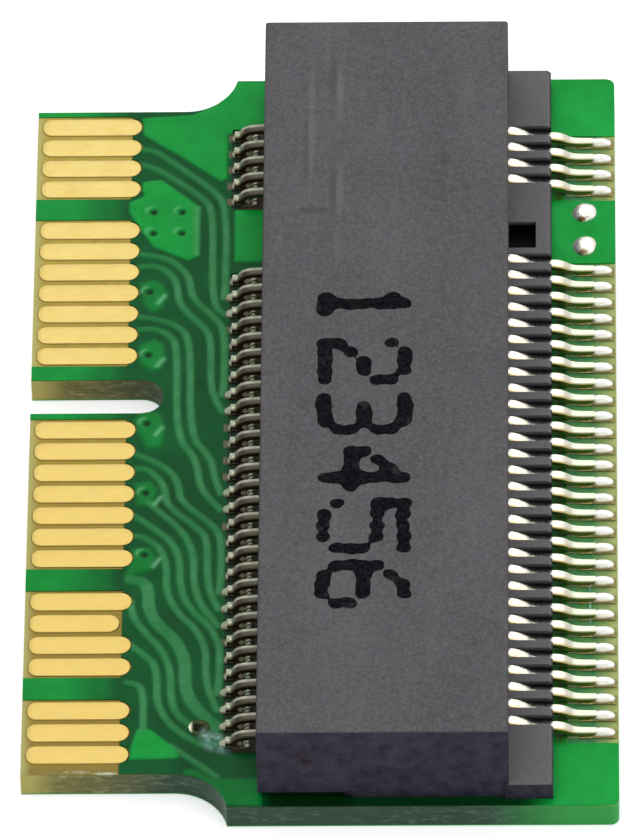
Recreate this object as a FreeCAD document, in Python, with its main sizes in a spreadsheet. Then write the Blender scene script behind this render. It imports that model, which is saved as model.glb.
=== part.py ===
import FreeCAD, Part
import math
import os
import Sketcher

# Adapter card: a thin printed board with a plated finger edge on one side and a
# low-profile edge-card socket for a small storage module on the other.
#
# Frame, in millimetres: X runs from the finger edge (-X) to the socket mouth (+X),
# Y runs along the row of contacts, Z is up.  The origin is the middle of the
# board's underside, so the card lies on Z = 0.

V = FreeCAD.Vector
UP = V(0, 0, 1)
OCTANT = math.sqrt(0.5)
DOME_NECK = 0.7
BURIED_SIDES = 6

doc = FreeCAD.newDocument("adapter_card")
sheet = doc.addObject("Spreadsheet::Sheet", "Sizes")


# ---------------------------------------------------------------- driving sizes

class Size:
    """A number together with the spreadsheet formula that it stands for."""

    def __init__(self, value, formula):
        self.value = value
        self.formula = formula

    def __add__(self, other):
        other = as_size(other)
        return Size(self.value + other.value, "(%s + %s)" % (self.formula, other.formula))

    def __sub__(self, other):
        other = as_size(other)
        return Size(self.value - other.value, "(%s - %s)" % (self.formula, other.formula))

    def __mul__(self, other):
        other = as_size(other)
        return Size(self.value * other.value, "(%s * %s)" % (self.formula, other.formula))

    def __truediv__(self, other):
        other = as_size(other)
        return Size(self.value / other.value, "(%s / %s)" % (self.formula, other.formula))

    def __neg__(self):
        return Size(-self.value, "(0 - %s)" % self.formula)

    def __radd__(self, other):
        return as_size(other) + self

    def __rsub__(self, other):
        return as_size(other) - self

    def __rmul__(self, other):
        return as_size(other) * self


def as_size(thing):
    """Plain numbers become constant sizes."""
    if isinstance(thing, Size):
        return thing
    return Size(float(thing), "%.6f" % thing)


def root(size):
    """Square root of a size."""
    return Size(math.sqrt(size.value), "sqrt(%s)" % size.formula)


row_number = 0


def size(alias, value, meaning):
    """Write one driving size into the sheet and hand it back as a formula."""
    global row_number
    row_number += 1
    sheet.set("A%d" % row_number, meaning)
    sheet.set("B%d" % row_number, "%s" % value)
    sheet.setAlias("B%d" % row_number, alias)
    return Size(float(value), "Sizes.%s" % alias)


# board
board_depth = size("BoardDepth", 13.45, "finger edge to tail edge, along X")
board_length = size("BoardLength", 22.16, "along the contact rows, along Y")
core_thick = size("CoreThickness", 0.64, "glass laminate")
layer = size("LayerThickness", 0.03, "plated copper, and the lacquer sheet beside it")
ridge = size("RidgeHeight", 0.02, "lacquer standing up over buried copper")
ridge_lap = size("RidgeLap", 0.03, "lacquer reaching past the copper it covers")
shoulder_rise = size("ShoulderRise", 0.97, "each end of the board beyond the tongue")
tongue_depth = size("TongueDepth", 3.45, "finger edge to the start of the shoulder arc")
shoulder_radius = size("ShoulderRadius", 1.22, "concave arc at each end of the tongue")
corner_radius = size("CornerRadius", 0.20, "rounded corners of the tail edge")
notch_width = size("NotchWidth", 1.03, "key notch in the tongue")
notch_centre = size("NotchCentre", 1.225, "key notch position along Y")
notch_depth = size("NotchDepth", 3.05, "key notch, edge to round end")
via_bore = size("ViaBore", 0.10, "radius of the open bore of a via")
via_wall = size("ViaWall", 0.05, "plated wall of a via")

# fingers
finger_pitch = size("FingerPitch", 0.65, "finger to finger")
finger_width = size("FingerWidth", 0.54, "width of a finger")
finger_long = size("FingerLong", 2.34, "length of a finger")
finger_trim = size("FingerTrim", 0.27, "how much shorter the one short finger is")
finger_corner = size("FingerCorner", 0.18, "eased corners at the board edge end of a finger")
finger_inset = size("FingerInset", 0.10, "board edge to finger")
finger_margin = size("FingerMargin", 0.4725, "tongue end to the first finger's centre line")
finger_skip = size("FingerSkip", 2.5, "extra pitches that the notch takes")
window_lap = size("WindowLap", 0.06, "bare laminate beyond the outer fingers of a group")

# socket rows
pitch = size("ContactPitch", 0.50, "contact to contact in one row")
contact_wide = size("ContactWidth", 0.22, "width of a contact strip")
contact_thick = size("ContactThickness", 0.15, "thickness of a contact strip")
side_play = size("ContactSidePlay", 0.03, "contact to channel wall, each side")
middle_place = size("MiddlePlace", 38, "contact number that lies on Y = 0")
pad_wide = size("PadWidth", 0.30, "solder pad under one foot")

# housing
rear_x = size("HousingRear", -1.385, "rear wall of the housing")
front_x = size("HousingFront", 4.255, "front of the upper part of the housing")
lip_x = size("LipFront", 5.245, "front of the lower lip")
housing_length = size("HousingLength", 21.66, "housing along Y")
lip_length = size("LipLength", 21.80, "lower lip along Y")
housing_tall = size("HousingHeight", 2.27, "housing above the board")
lip_tall = size("LipHeight", 0.50, "lip above the board")
foot_x = size("FootStart", 0.575, "rear of this line the housing stands off the board")
foot_gap = size("FootGap", 0.18, "stand-off of the rear part")
slot_length = size("SlotLength", 19.90, "module slot along Y")
slot_low = size("SlotFloor", 0.80, "floor of the module slot above the board")
slot_high = size("SlotRoof", 1.70, "roof of the module slot above the board")
slot_back = size("SlotBack", 1.275, "inner end of the module slot")
lead_in = size("LeadIn", 0.20, "bevel at the mouth of the slot roof")
key_wide = size("KeyWidth", 1.00, "key rib along Y")
key_place = size("KeyPlace", 62.5, "contact number at the middle of the key rib")
key_back = size("KeySetBack", 0.35, "key rib behind the housing front")
core_wide = size("CoreOutWidth", 0.80, "moulding core-out in the lip, along Y")
core_deep = size("CoreOutDepth", 0.63, "moulding core-out in the lip, along X")
core_sink = size("CoreOutSink", 0.42, "moulding core-out, down from the lip's top")
core_centre = size("CoreOutCentre", 5.72, "moulding core-out, middle along Y")
peg_inset = size("PegInset", 0.95, "peg centre in from the housing end")
peg_x = size("PegX", 3.20, "peg centre line")
peg_small = size("PegSmallRadius", 0.50, "radius of the small locating peg")
peg_large = size("PegLargeRadius", 0.70, "radius of the large locating peg")
peg_play = size("PegPlay", 0.05, "peg to hole, on the radius")
peg_short = size("PegShort", 0.10, "peg end above the underside of the board")
edge_round = size("HousingEdgeRound", 0.08, "rounded long edges of the housing")
gallery_drop = size("GalleryDrop", 0.08, "upper channel floor below the slot roof")
tip_room = size("TipRoom", 0.15, "channel beyond the free end of a beam")
over = size("CutOver", 0.10, "how far a cut runs past the face it opens")

# lower contact, from the tail to the spring
low_channel = size("LowChannelFloor", 0.18, "floor of the lower channels above the board")
low_toe = size("LowToe", 6.225, "toe of the lower foot")
low_heel = size("LowHeel", 5.705, "heel of the lower foot")
low_seat_front = size("LowSeatFront", 5.425, "front of the seated run")
low_seat_back = size("LowSeatBack", 4.875, "back of the seated run")
low_step = size("LowStep", 0.165, "rise of the beam above its seat")
low_step_x = size("LowStepX", 4.545, "where the long climb of the beam starts")
low_crown = size("LowCrown", 2.225, "crown that touches the module")
low_crown_rise = size("LowCrownRise", 0.98, "top of the crown above the board")
low_tip = size("LowTip", 1.825, "free end of the beam")
low_tip_drop = size("LowTipDrop", 0.18, "crown to free end")
low_channel_back = size("LowChannelBack", 1.625, "inner end of the lower channels")
low_pad_out = size("LowPadFront", 6.625, "outer end of the front pads")
low_pad_in = size("LowPadBack", 5.545, "inner end of the front pads")
low_fillet = size("LowFillet", 0.30, "solder ahead of a lower toe")

# upper contact, from the tail to the spring
high_toe = size("HighToe", -2.125, "toe of the upper foot")
high_heel = size("HighHeel", -1.795, "heel of the upper foot")
high_rise_x = size("HighRiseX", -1.495, "end of the slope from the foot")
high_rise = size("HighRise", 0.255, "underside of the tail where it enters the housing")
high_leg = size("HighLeg", -1.025, "rear face of the upright leg")
high_roof = size("HighRoof", 1.95, "roof of the upper channels above the board")
high_crown = size("HighCrown", 3.450, "upper crown that touches the module")
high_crown_low = size("HighCrownLow", 1.525, "lowest point of the crown above the board")
high_tip = size("HighTip", 3.825, "free end of the upper beam")
high_tip_rise = size("HighTipRise", 0.20, "crown to free end")
high_shaft = size("HighShaft", 0.60, "depth of the shaft that holds the leg, along X")
high_pad_out = size("HighPadRear", -2.325, "outer end of the rear pads")
high_pad_in = size("HighPadFront", -1.625, "inner end of the rear pads")
high_fillet = size("HighFillet", 0.13, "solder behind an upper toe")
fillet_tall = size("FilletHeight", 0.11, "solder up the end of a foot")
gang_lap = size("GangLap", 0.12, "bare laminate round a row of pads")

# vias
field_x = size("ViaFieldX", -3.995, "first via of the square field, along X")
field_y = size("ViaFieldY", 6.93, "first via of the square field, along Y")
field_pitch = size("ViaFieldPitch", 0.66, "via to via in the square field")
finger_via_x = size("FingerViaX", -4.055, "vias at the ends of grounded fingers")
ring_x = size("RingViaX", -2.725, "tinned ring via, along X")
ring_y = size("RingViaY", -8.76, "tinned ring via, along Y")
ring_radius = size("RingRadius", 0.24, "tinned ring, outside")
ring_tall = size("RingHeight", 0.05, "tinned ring above the board")
dome_x = size("DomeX", 6.005, "solder-filled vias beside the tails, along X")
dome_high_y = size("DomeHighY", 6.84, "first solder-filled via, along Y")
dome_low_y = size("DomeLowY", 5.80, "second solder-filled via, along Y")
dome_radius = size("DomeRadius", 0.285, "solder dome at the board")
dome_tall = size("DomeHeight", 0.16, "solder dome above the board")
finger_sink = size("FingerSink", 0.005, "lower fingers inside the lacquer's face")

# buried copper
trace_wide = size("TraceWidth", 0.15, "signal trace")
lane_x = size("LaneX", -2.285, "trace lane nearest the socket")
lane_pitch = size("LanePitch", 0.31, "lane to lane")

doc.recompute()

top = core_thick + layer * 2
tongue_length = board_length - shoulder_rise * 2
left_x = -(board_depth / 2)
right_x = board_depth / 2
finger_tip = left_x + finger_inset + finger_long


def finger_y(place):
    """Centre line of the finger at one of the numbered places of the edge."""
    steps = place if place < 12 else place + finger_skip
    return tongue_length / 2 - finger_margin - finger_pitch * steps


def contact_y(number):
    """Centre line of a numbered contact; the two rows share one numbering."""
    return (number - middle_place) * pitch / 2


# ---------------------------------------------------------------- small helpers

def bind(thing, prop, value):
    """Tie a property to the sheet."""
    thing.setExpression(prop, as_size(value).formula)


def new_body(name):
    body = doc.addObject("PartDesign::Body", name)
    body.Label = name
    return body


def sketch_on(body, role, name, away=0):
    """Empty sketch on one of the body's own planes, moved along its normal."""
    sketch = body.newObject("Sketcher::SketchObject", name)
    plane = [item for item in body.Origin.OriginFeatures if item.Role == role][0]
    sketch.AttachmentSupport = [(plane, "")]
    sketch.MapMode = "FlatFace"
    bind(sketch, "AttachmentOffset.Base.z", away)
    return sketch


def arc_between(start, end, radius, turn):
    """Arc from start to end; turn is +1 when it bends to the left."""
    chord = end - start
    half = chord.Length / 2
    reach = math.sqrt(max(radius * radius - half * half, 0))
    side = V(-chord.y, chord.x, 0).normalize() * turn
    centre = (start + end) * 0.5 + side * reach
    first = math.atan2(start.y - centre.y, start.x - centre.x)
    last = math.atan2(end.y - centre.y, end.x - centre.x)
    if turn < 0:
        first, last = last, first
    if last <= first:
        last += 2 * math.pi
    return Part.ArcOfCircle(Part.Circle(centre, UP, radius), first, last)


def close_loop(sketch, corners):
    """Closed loop through fixed corners.

    A corner is (u, v) when a straight run leaves it, or (u, v, radius, turn)
    when an arc of that radius leaves it.  Every corner is dimensioned from the
    sketch origin, so the loop has no freedom left.
    """
    points = [V(as_size(c[0]).value, as_size(c[1]).value, 0) for c in corners]
    ends = []
    for index, corner in enumerate(corners):
        start = points[index]
        end = points[(index + 1) % len(points)]
        if len(corner) == 2:
            ends.append((sketch.addGeometry(Part.LineSegment(start, end), False), 1, 2))
        else:
            radius, turn = corner[2], corner[3]
            edge = sketch.addGeometry(arc_between(start, end, radius.value, turn), False)
            ends.append((edge, 1, 2) if turn > 0 else (edge, 2, 1))
    for index, (edge, head, tail) in enumerate(ends):
        after, after_head, _ = ends[(index + 1) % len(ends)]
        sketch.addConstraint(Sketcher.Constraint("Coincident", edge, tail, after, after_head))
    for index, (edge, head, tail) in enumerate(ends):
        for kind, coordinate in (("DistanceX", corners[index][0]), ("DistanceY", corners[index][1])):
            coordinate = as_size(coordinate)
            number = sketch.addConstraint(
                Sketcher.Constraint(kind, -1, 1, edge, head, coordinate.value))
            if "Sizes" in coordinate.formula:
                sketch.setExpression("Constraints[%d]" % number, coordinate.formula)
        if len(corners[index]) == 4 and not corners[index][2].full_half:
            radius = corners[index][2]
            number = sketch.addConstraint(Sketcher.Constraint("Radius", edge, radius.value))
            sketch.setExpression("Constraints[%d]" % number, radius.formula)
    return sketch


def arc_radius(value, half_turn=False):
    """Radius for an arc run; a half turn is already fixed by its two ends."""
    value = as_size(value)
    value.full_half = half_turn
    return value


def bar_loop(x0, x1, y, width, corner):
    """Loop of a bar with eased corners at x0 and a round end, in short runs, at x1."""
    r = width / 2
    q = r * OCTANT
    return [(x0 + corner, y - r), (x1 - r, y - r), (x1 - r + q, y - q), (x1, y),
            (x1 - r + q, y + q), (x1 - r, y + r), (x0 + corner, y + r),
            (x0, y + r - corner), (x0, y - r + corner)]


def rectangle_loop(x0, x1, y0, y1):
    return [(x0, y0), (x1, y0), (x1, y1), (x0, y1)]


def pad_up(body, sketch, name, thickness):
    pad = body.newObject("PartDesign::Pad", name)
    pad.Profile = sketch
    bind(pad, "Length", thickness)
    sketch.Visibility = False
    return pad


def pad_both(body, sketch, name, thickness):
    pad = pad_up(body, sketch, name, thickness)
    pad.SideType = "Symmetric"
    return pad


def pocket_both(body, sketch, name, thickness):
    """Cut equally to both sides of the sketch."""
    pocket = body.newObject("PartDesign::Pocket", name)
    pocket.Profile = sketch
    pocket.SideType = "Symmetric"
    bind(pocket, "Length", thickness)
    sketch.Visibility = False
    return pocket


def repeat(body, feature, sketch, name, step, count, axis="N_Axis"):
    """Row of copies along the sketch's own axis."""
    pattern = body.newObject("PartDesign::LinearPattern", name)
    pattern.Originals = [feature]
    pattern.Direction = (sketch, [axis])
    pattern.Mode = "Spacing"
    bind(pattern, "Offset", step)
    pattern.Occurrences = count
    body.Tip = pattern
    return pattern


def board_loop():
    """Outline of the board, counter-clockwise, with the key notch in it."""
    end = board_length / 2
    tongue = tongue_length / 2
    start = left_x + tongue_depth
    reach = root(shoulder_radius * shoulder_radius
                 - (shoulder_radius - shoulder_rise) * (shoulder_radius - shoulder_rise))
    round_end = left_x + notch_depth - notch_width / 2
    notch_top = notch_centre + notch_width / 2
    notch_low = notch_centre - notch_width / 2
    return [
        (right_x, -end + corner_radius),
        (right_x, end - corner_radius, arc_radius(corner_radius), 1),
        (right_x - corner_radius, end),
        (start + reach, end, arc_radius(shoulder_radius), -1),
        (start, tongue),
        (left_x, tongue),
        (left_x, notch_top),
        (round_end, notch_top, arc_radius(notch_width / 2, True), -1),
        (round_end, notch_low),
        (left_x, notch_low),
        (left_x, -tongue),
        (start, -tongue, arc_radius(shoulder_radius), -1),
        (start + reach, -end),
        (right_x - corner_radius, -end, arc_radius(corner_radius), 1),
    ]


def board_sheet(name, low, thick):
    """One layer of the board, cut to the board's outline."""
    body = new_body(name)
    outline = close_loop(sketch_on(body, "XY_Plane", name + "_outline", low), board_loop())
    pad_up(body, outline, name + "_sheet", thick)
    return body


def drill(body, name, places, radius, low, high):
    """Round holes through a layer, all of one radius."""
    sketch = sketch_on(body, "XY_Plane", name + "_circles", (low + high) / 2)
    for x, y in places:
        x, y = as_size(x), as_size(y)
        circle = sketch.addGeometry(Part.Circle(V(x.value, y.value, 0), UP, radius.value), False)
        number = sketch.addConstraint(Sketcher.Constraint("Radius", circle, radius.value))
        sketch.setExpression("Constraints[%d]" % number, radius.formula)
        for kind, place in (("DistanceX", x), ("DistanceY", y)):
            number = sketch.addConstraint(Sketcher.Constraint(kind, -1, 1, circle, 3, place.value))
            sketch.setExpression("Constraints[%d]" % number, place.formula)
    return pocket_both(body, sketch, name, high - low + over * 2)


def cut_windows(body, name, loops, low, high):
    """Openings through a layer."""
    for index, loop in enumerate(loops):
        sketch = sketch_on(body, "XY_Plane", "%s_%d_loop" % (name, index), (low + high) / 2)
        close_loop(sketch, loop)
        pocket_both(body, sketch, "%s_%d" % (name, index), high - low + over * 2)


def prism(name, x, y, radius, low, tall, sides=8):
    """Upright prism, the shape of a small bore and of what fills it."""
    item = doc.addObject("Part::Prism", name)
    item.Polygon = sides
    bind(item, "Circumradius", radius)
    bind(item, "Height", tall)
    bind(item, "Placement.Base.x", x)
    bind(item, "Placement.Base.y", y)
    bind(item, "Placement.Base.z", low)
    return item


def gather(name, items):
    """Several separate shapes handled as one."""
    group = doc.addObject("Part::Compound", name)
    group.Links = items
    return group


def subtract(name, base, tool):
    cut = doc.addObject("Part::Cut", name)
    cut.Base = base
    cut.Tool = tool
    return cut


def row_of(body, name, plane, loop, thick, first, last, low=0):
    """One piece drawn once and repeated for every second contact number.

    On the upright plane the loop is a side profile, widened along the row; on
    the level plane it is a footprint, raised by its thickness from low.
    """
    count = (last - first) // 2 + 1
    if plane == "XZ_Plane":
        sketch = sketch_on(body, plane, name + "_profile", -contact_y(last))
        close_loop(sketch, loop)
        pad = pad_both(body, sketch, name + "_strip", thick)
        return repeat(body, pad, sketch, name + "_row", pitch, count)
    sketch = sketch_on(body, plane, name + "_footprint", low)
    close_loop(sketch, loop)
    pad = pad_up(body, sketch, name + "_plate", thick)
    return repeat(body, pad, sketch, name + "_row", pitch, count, "V_Axis")


def cut_row(body, name, loop, wide, first, last):
    """One channel cut once and repeated for every second contact number."""
    sketch = sketch_on(body, "XZ_Plane", name + "_profile", -contact_y(last))
    close_loop(sketch, loop)
    pocket = pocket_both(body, sketch, name + "_channel", wide)
    return repeat(body, pocket, sketch, name + "_row", pitch, (last - first) // 2 + 1)


# contact numbers: the upper row is odd, the lower row is even, and the key
# takes the places from 59 to 66
UPPER_MAIN = (1, 57)
UPPER_KEY = (67, 75)
LOWER_MAIN = (2, 58)
LOWER_KEY = (68, 74)

# finger places that carry copper on the upper face, in groups
TOP_GROUPS = ((0, 3), (5, 11), (12, 18), (20, 23), (25, 27))
SHORT_FINGER = 21
BOTTOM_GROUPS = ((0, 11), (12, 27))

copper_low = layer + core_thick
tail_wide = contact_wide + side_play * 2


# ---------------------------------------------------------------- via places

via_field = [(field_x, field_y),
             (field_x + field_pitch, field_y),
             (field_x, field_y - field_pitch),
             (field_x + field_pitch, field_y - field_pitch)]
finger_vias = [(finger_via_x, finger_y(8)),
               (finger_via_x, finger_y(11)),
               (finger_via_x, finger_y(12) + field_pitch / 4),
               (finger_via_x, finger_y(15)),
               (finger_via_x, finger_y(18) + field_pitch / 8)]
open_vias = via_field + finger_vias + [(ring_x, ring_y)]
filled_vias = [(dome_x, dome_high_y), (dome_x, dome_low_y)]
pegs = [(peg_x, housing_length / 2 - peg_inset, peg_large),
        (peg_x, -(housing_length / 2 - peg_inset), peg_small)]


# ---------------------------------------------------------------- laminate

core_sheet = board_sheet("core_sheet", layer, core_thick)
for number, (x, y, r) in enumerate(pegs):
    drill(core_sheet, "core_peg_hole_%d" % number, [(x, y)], r + peg_play, layer, copper_low)
all_vias = open_vias + filled_vias
plated_bores = gather("plated_bores", [
    prism("plated_bore_%d" % number, x, y, via_bore + via_wall, layer, core_thick, BURIED_SIDES)
    for number, (x, y) in enumerate(all_vias)])
open_bores = gather("open_bores", [
    prism("open_bore_%d" % number, x, y, via_bore, -over, top + over * 2)
    for number, (x, y) in enumerate(all_vias)])
board_core = subtract("board_core", core_sheet, plated_bores)

# plated barrels of the vias
via_barrels = subtract("via_barrels", plated_bores, open_bores)


# ---------------------------------------------------------------- fingers

def finger_bar(place):
    """Footprint of one finger."""
    tip = finger_tip - finger_trim if place == SHORT_FINGER else finger_tip
    return bar_loop(left_x + finger_inset, tip, finger_y(place), finger_width, finger_corner)


def finger_group(name, runs, low, thick):
    """Neighbouring fingers, each a plate of its own, drawn once for each even run."""
    body = new_body(name)
    for first, last in runs:
        sketch = sketch_on(body, "XY_Plane", "%s_bar_%d" % (name, first), low)
        close_loop(sketch, finger_bar(last))
        plate_up = pad_up(body, sketch, "%s_plate_%d" % (name, first), thick)
        if last > first:
            repeat(body, plate_up, sketch, "%s_row_%d" % (name, first), finger_pitch,
                   last - first + 1, "V_Axis")
    return body


def runs_of(first, last):
    """Split a group where the short finger stands."""
    if first < SHORT_FINGER < last:
        return (first, SHORT_FINGER - 1), (SHORT_FINGER, SHORT_FINGER), (SHORT_FINGER + 1, last)
    return ((first, last),)


top_fingers = [finger_group("fingers_top_%d" % (number + 1), runs_of(first, last), copper_low, layer)
               for number, (first, last) in enumerate(TOP_GROUPS)]
bottom_fingers = [finger_group("fingers_bottom_%d" % (number + 1), ((first, last),),
                               finger_sink, layer - finger_sink)
                  for number, (first, last) in enumerate(BOTTOM_GROUPS)]


# ---------------------------------------------------------------- solder pads

def pad_loop(x0, x1, number):
    return rectangle_loop(x0, x1, contact_y(number) - pad_wide / 2, contact_y(number) + pad_wide / 2)


rear_pads = new_body("rear_pads")
front_pads = new_body("front_pads")
for name, (first, last) in (("main", UPPER_MAIN), ("key", UPPER_KEY)):
    row_of(rear_pads, "rear_pads_" + name, "XY_Plane",
           pad_loop(high_pad_out, high_pad_in, first), layer, first, last, copper_low)
for name, (first, last) in (("main", LOWER_MAIN), ("key", LOWER_KEY)):
    row_of(front_pads, "front_pads_" + name, "XY_Plane",
           pad_loop(low_pad_in, low_pad_out, first), layer, first, last, copper_low)


# ---------------------------------------------------------------- contacts

low_foot = top + contact_thick
low_seat = top + low_channel
low_beam = low_seat + low_step
low_crown_under = top + low_crown_rise - contact_thick
low_strip = [
    (low_toe, top),
    (low_toe, low_foot),
    (low_heel, low_foot),
    (low_seat_front, low_seat + contact_thick),
    (low_seat_back, low_seat + contact_thick),
    (low_step_x, low_beam + contact_thick),
    (low_crown, low_crown_under + contact_thick),
    (low_tip, low_crown_under + contact_thick - low_tip_drop),
    (low_tip, low_crown_under - low_tip_drop),
    (low_crown, low_crown_under),
    (low_step_x, low_beam),
    (low_seat_back, low_seat),
    (low_seat_front, low_seat),
    (low_heel, top),
]

high_foot = top + contact_thick
high_run = top + high_rise
high_under = top + high_roof - contact_thick
high_strip = [
    (high_toe, top),
    (high_heel, top),
    (high_rise_x, high_run),
    (high_leg + contact_thick, high_run),
    (high_leg + contact_thick, high_under),
    (high_crown, top + high_crown_low),
    (high_tip, top + high_crown_low + high_tip_rise),
    (high_tip, top + high_crown_low + high_tip_rise + contact_thick),
    (high_crown, top + high_crown_low + contact_thick),
    (high_leg, high_under + contact_thick),
    (high_leg, high_run + contact_thick),
    (high_rise_x, high_run + contact_thick),
    (high_heel, high_foot),
    (high_toe, high_foot),
]

upper_main = new_body("upper_contacts_main")
row_of(upper_main, "upper_main", "XZ_Plane", high_strip, contact_wide, *UPPER_MAIN)
upper_key = new_body("upper_contacts_key")
row_of(upper_key, "upper_key", "XZ_Plane", high_strip, contact_wide, *UPPER_KEY)
lower_main = new_body("lower_contacts_main")
row_of(lower_main, "lower_main", "XZ_Plane", low_strip, contact_wide, *LOWER_MAIN)
lower_key = new_body("lower_contacts_key")
row_of(lower_key, "lower_key", "XZ_Plane", low_strip, contact_wide, *LOWER_KEY)


# ---------------------------------------------------------------- solder joints

rear_wedge = [(high_toe, top), (high_toe, top + fillet_tall), (high_toe - high_fillet, top)]
front_wedge = [(low_toe, top), (low_toe + low_fillet, top), (low_toe, top + fillet_tall)]
solder_rear = new_body("solder_rear")
row_of(solder_rear, "solder_rear_main", "XZ_Plane", rear_wedge, contact_wide, *UPPER_MAIN)
row_of(solder_rear, "solder_rear_key", "XZ_Plane", rear_wedge, contact_wide, *UPPER_KEY)
solder_front = new_body("solder_front")
row_of(solder_front, "solder_front_main", "XZ_Plane", front_wedge, contact_wide, *LOWER_MAIN)
row_of(solder_front, "solder_front_key", "XZ_Plane", front_wedge, contact_wide, *LOWER_KEY)


# ---------------------------------------------------------------- socket housing

socket_housing = new_body("socket_housing")
roof_z = top + housing_tall
lip_z = top + lip_tall
body_profile = sketch_on(socket_housing, "XZ_Plane", "housing_profile")
close_loop(body_profile, [
    (rear_x, top + foot_gap),
    (foot_x, top + foot_gap),
    (foot_x, top),
    (front_x, top),
    (front_x, roof_z - edge_round, arc_radius(edge_round), 1),
    (front_x - edge_round, roof_z),
    (rear_x + edge_round, roof_z, arc_radius(edge_round), 1),
    (rear_x, roof_z - edge_round),
])
pad_both(socket_housing, body_profile, "housing_block", housing_length)
lip_profile = sketch_on(socket_housing, "XZ_Plane", "lip_profile")
close_loop(lip_profile, [
    (front_x - edge_round, top),
    (lip_x, top),
    (lip_x, lip_z - edge_round),
    (lip_x - edge_round, lip_z),
    (front_x - edge_round, lip_z),
])
pad_both(socket_housing, lip_profile, "lip_block", lip_length)

# locating pegs under the two ends
for number, (x, y, r) in enumerate(pegs):
    circle_sketch = sketch_on(socket_housing, "XY_Plane", "peg_%d_circle" % number, peg_short)
    ring = circle_sketch.addGeometry(Part.Circle(V(x.value, y.value, 0), UP, r.value), False)
    entry = circle_sketch.addConstraint(Sketcher.Constraint("Radius", ring, r.value))
    circle_sketch.setExpression("Constraints[%d]" % entry, r.formula)
    for kind, place in (("DistanceX", x), ("DistanceY", y)):
        entry = circle_sketch.addConstraint(
            Sketcher.Constraint(kind, -1, 1, ring, 3, place.value))
        circle_sketch.setExpression("Constraints[%d]" % entry, place.formula)
    pad_up(socket_housing, circle_sketch, "peg_%d" % number, top - peg_short)

# module slot, open to the front over the lip
mouth = sketch_on(socket_housing, "XZ_Plane", "mouth_profile")
close_loop(mouth, [
    (slot_back, top + slot_low),
    (front_x - key_back, top + slot_low),
    (front_x, lip_z),
    (front_x + over, lip_z),
    (front_x + over, top + slot_high + lead_in),
    (front_x, top + slot_high + lead_in),
    (front_x - lead_in, top + slot_high),
    (slot_back, top + slot_high),
])
pocket_both(socket_housing, mouth, "module_slot", slot_length)

# key rib across the slot
key_sketch = sketch_on(socket_housing, "XZ_Plane", "key_profile", -contact_y(key_place))
close_loop(key_sketch, rectangle_loop(slot_back - over, front_x - key_back,
                                      top + slot_low - over, top + slot_high + over))
pad_both(socket_housing, key_sketch, "key_rib", key_wide)

# channels of the two contact rows
high_channel = [
    (rear_x - over, top),
    (rear_x - over, high_run + contact_thick + side_play),
    (high_leg, high_run + contact_thick + side_play),
    (high_leg, top + high_roof),
    (high_tip + tip_room, top + high_roof),
    (high_tip + tip_room, top + slot_high - gallery_drop),
    (high_leg + high_shaft, top + slot_high - gallery_drop),
    (high_leg + high_shaft, top),
]
low_channel_loop = rectangle_loop(low_channel_back, lip_x + over, low_seat, top + slot_low + over)
cut_row(socket_housing, "upper_main_channels", high_channel, tail_wide, *UPPER_MAIN)
cut_row(socket_housing, "upper_key_channels", high_channel, tail_wide, *UPPER_KEY)
cut_row(socket_housing, "lower_main_channels", low_channel_loop, tail_wide, *LOWER_MAIN)
cut_row(socket_housing, "lower_key_channels", low_channel_loop, tail_wide, *LOWER_KEY)

# square core-out in the lip below the key
core_sketch = sketch_on(socket_housing, "XY_Plane", "core_out_loop", lip_z)
close_loop(core_sketch, rectangle_loop(front_x, front_x + core_deep,
                                       core_centre - core_wide / 2, core_centre + core_wide / 2))
pocket_both(socket_housing, core_sketch, "core_out", core_sink * 2)


# ---------------------------------------------------------------- buried copper

def lane(number):
    """Centre line of one of the straight runs beside the socket."""
    return (lane_x - lane_pitch * number).value


def ribbon(points, width, low, thick, past=0.0):
    """Flat strip of even width along a route, or its cover, which runs past both ends."""
    points = list(points)
    if past:
        points[0] = points[0] + (points[0] - points[1]).normalize() * past
        points[-1] = points[-1] + (points[-1] - points[-2]).normalize() * past
    left, right = [], []
    for index, here in enumerate(points):
        arrive = (here - points[index - 1]).normalize() if index else None
        leave = (points[index + 1] - here).normalize() if index + 1 < len(points) else None
        along = (arrive or leave) + (leave or arrive)
        along.normalize()
        across = V(-along.y, along.x, 0)
        edge = arrive or leave
        across = across * (width / 2 / max(across.dot(V(-edge.y, edge.x, 0)), 0.5))
        left.append(here + across)
        right.append(here - across)
    loop = left + right[::-1] + [left[0]]
    face = Part.Face(Part.makePolygon(loop))
    face.translate(V(0, 0, low))
    return face.extrude(V(0, 0, thick))


def plate(points, low, thick, lap=0.0):
    """Flat island of copper, or its cover, from a corner list."""
    face = Part.Face(Part.makePolygon([V(x, y, 0) for x, y in points + points[:1]]))
    if lap:
        face = Part.Face(face.OuterWire.makeOffset2D(lap, 2))
    face.translate(V(0, 0, low))
    return face.extrude(V(0, 0, thick))


def path(*points):
    return [V(x, y, 0) for x, y in points]


tip_x = finger_tip.value
pad_edge = high_pad_out.value


def f_y(place):
    return finger_y(place).value


def c_y(number):
    return contact_y(number).value


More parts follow.
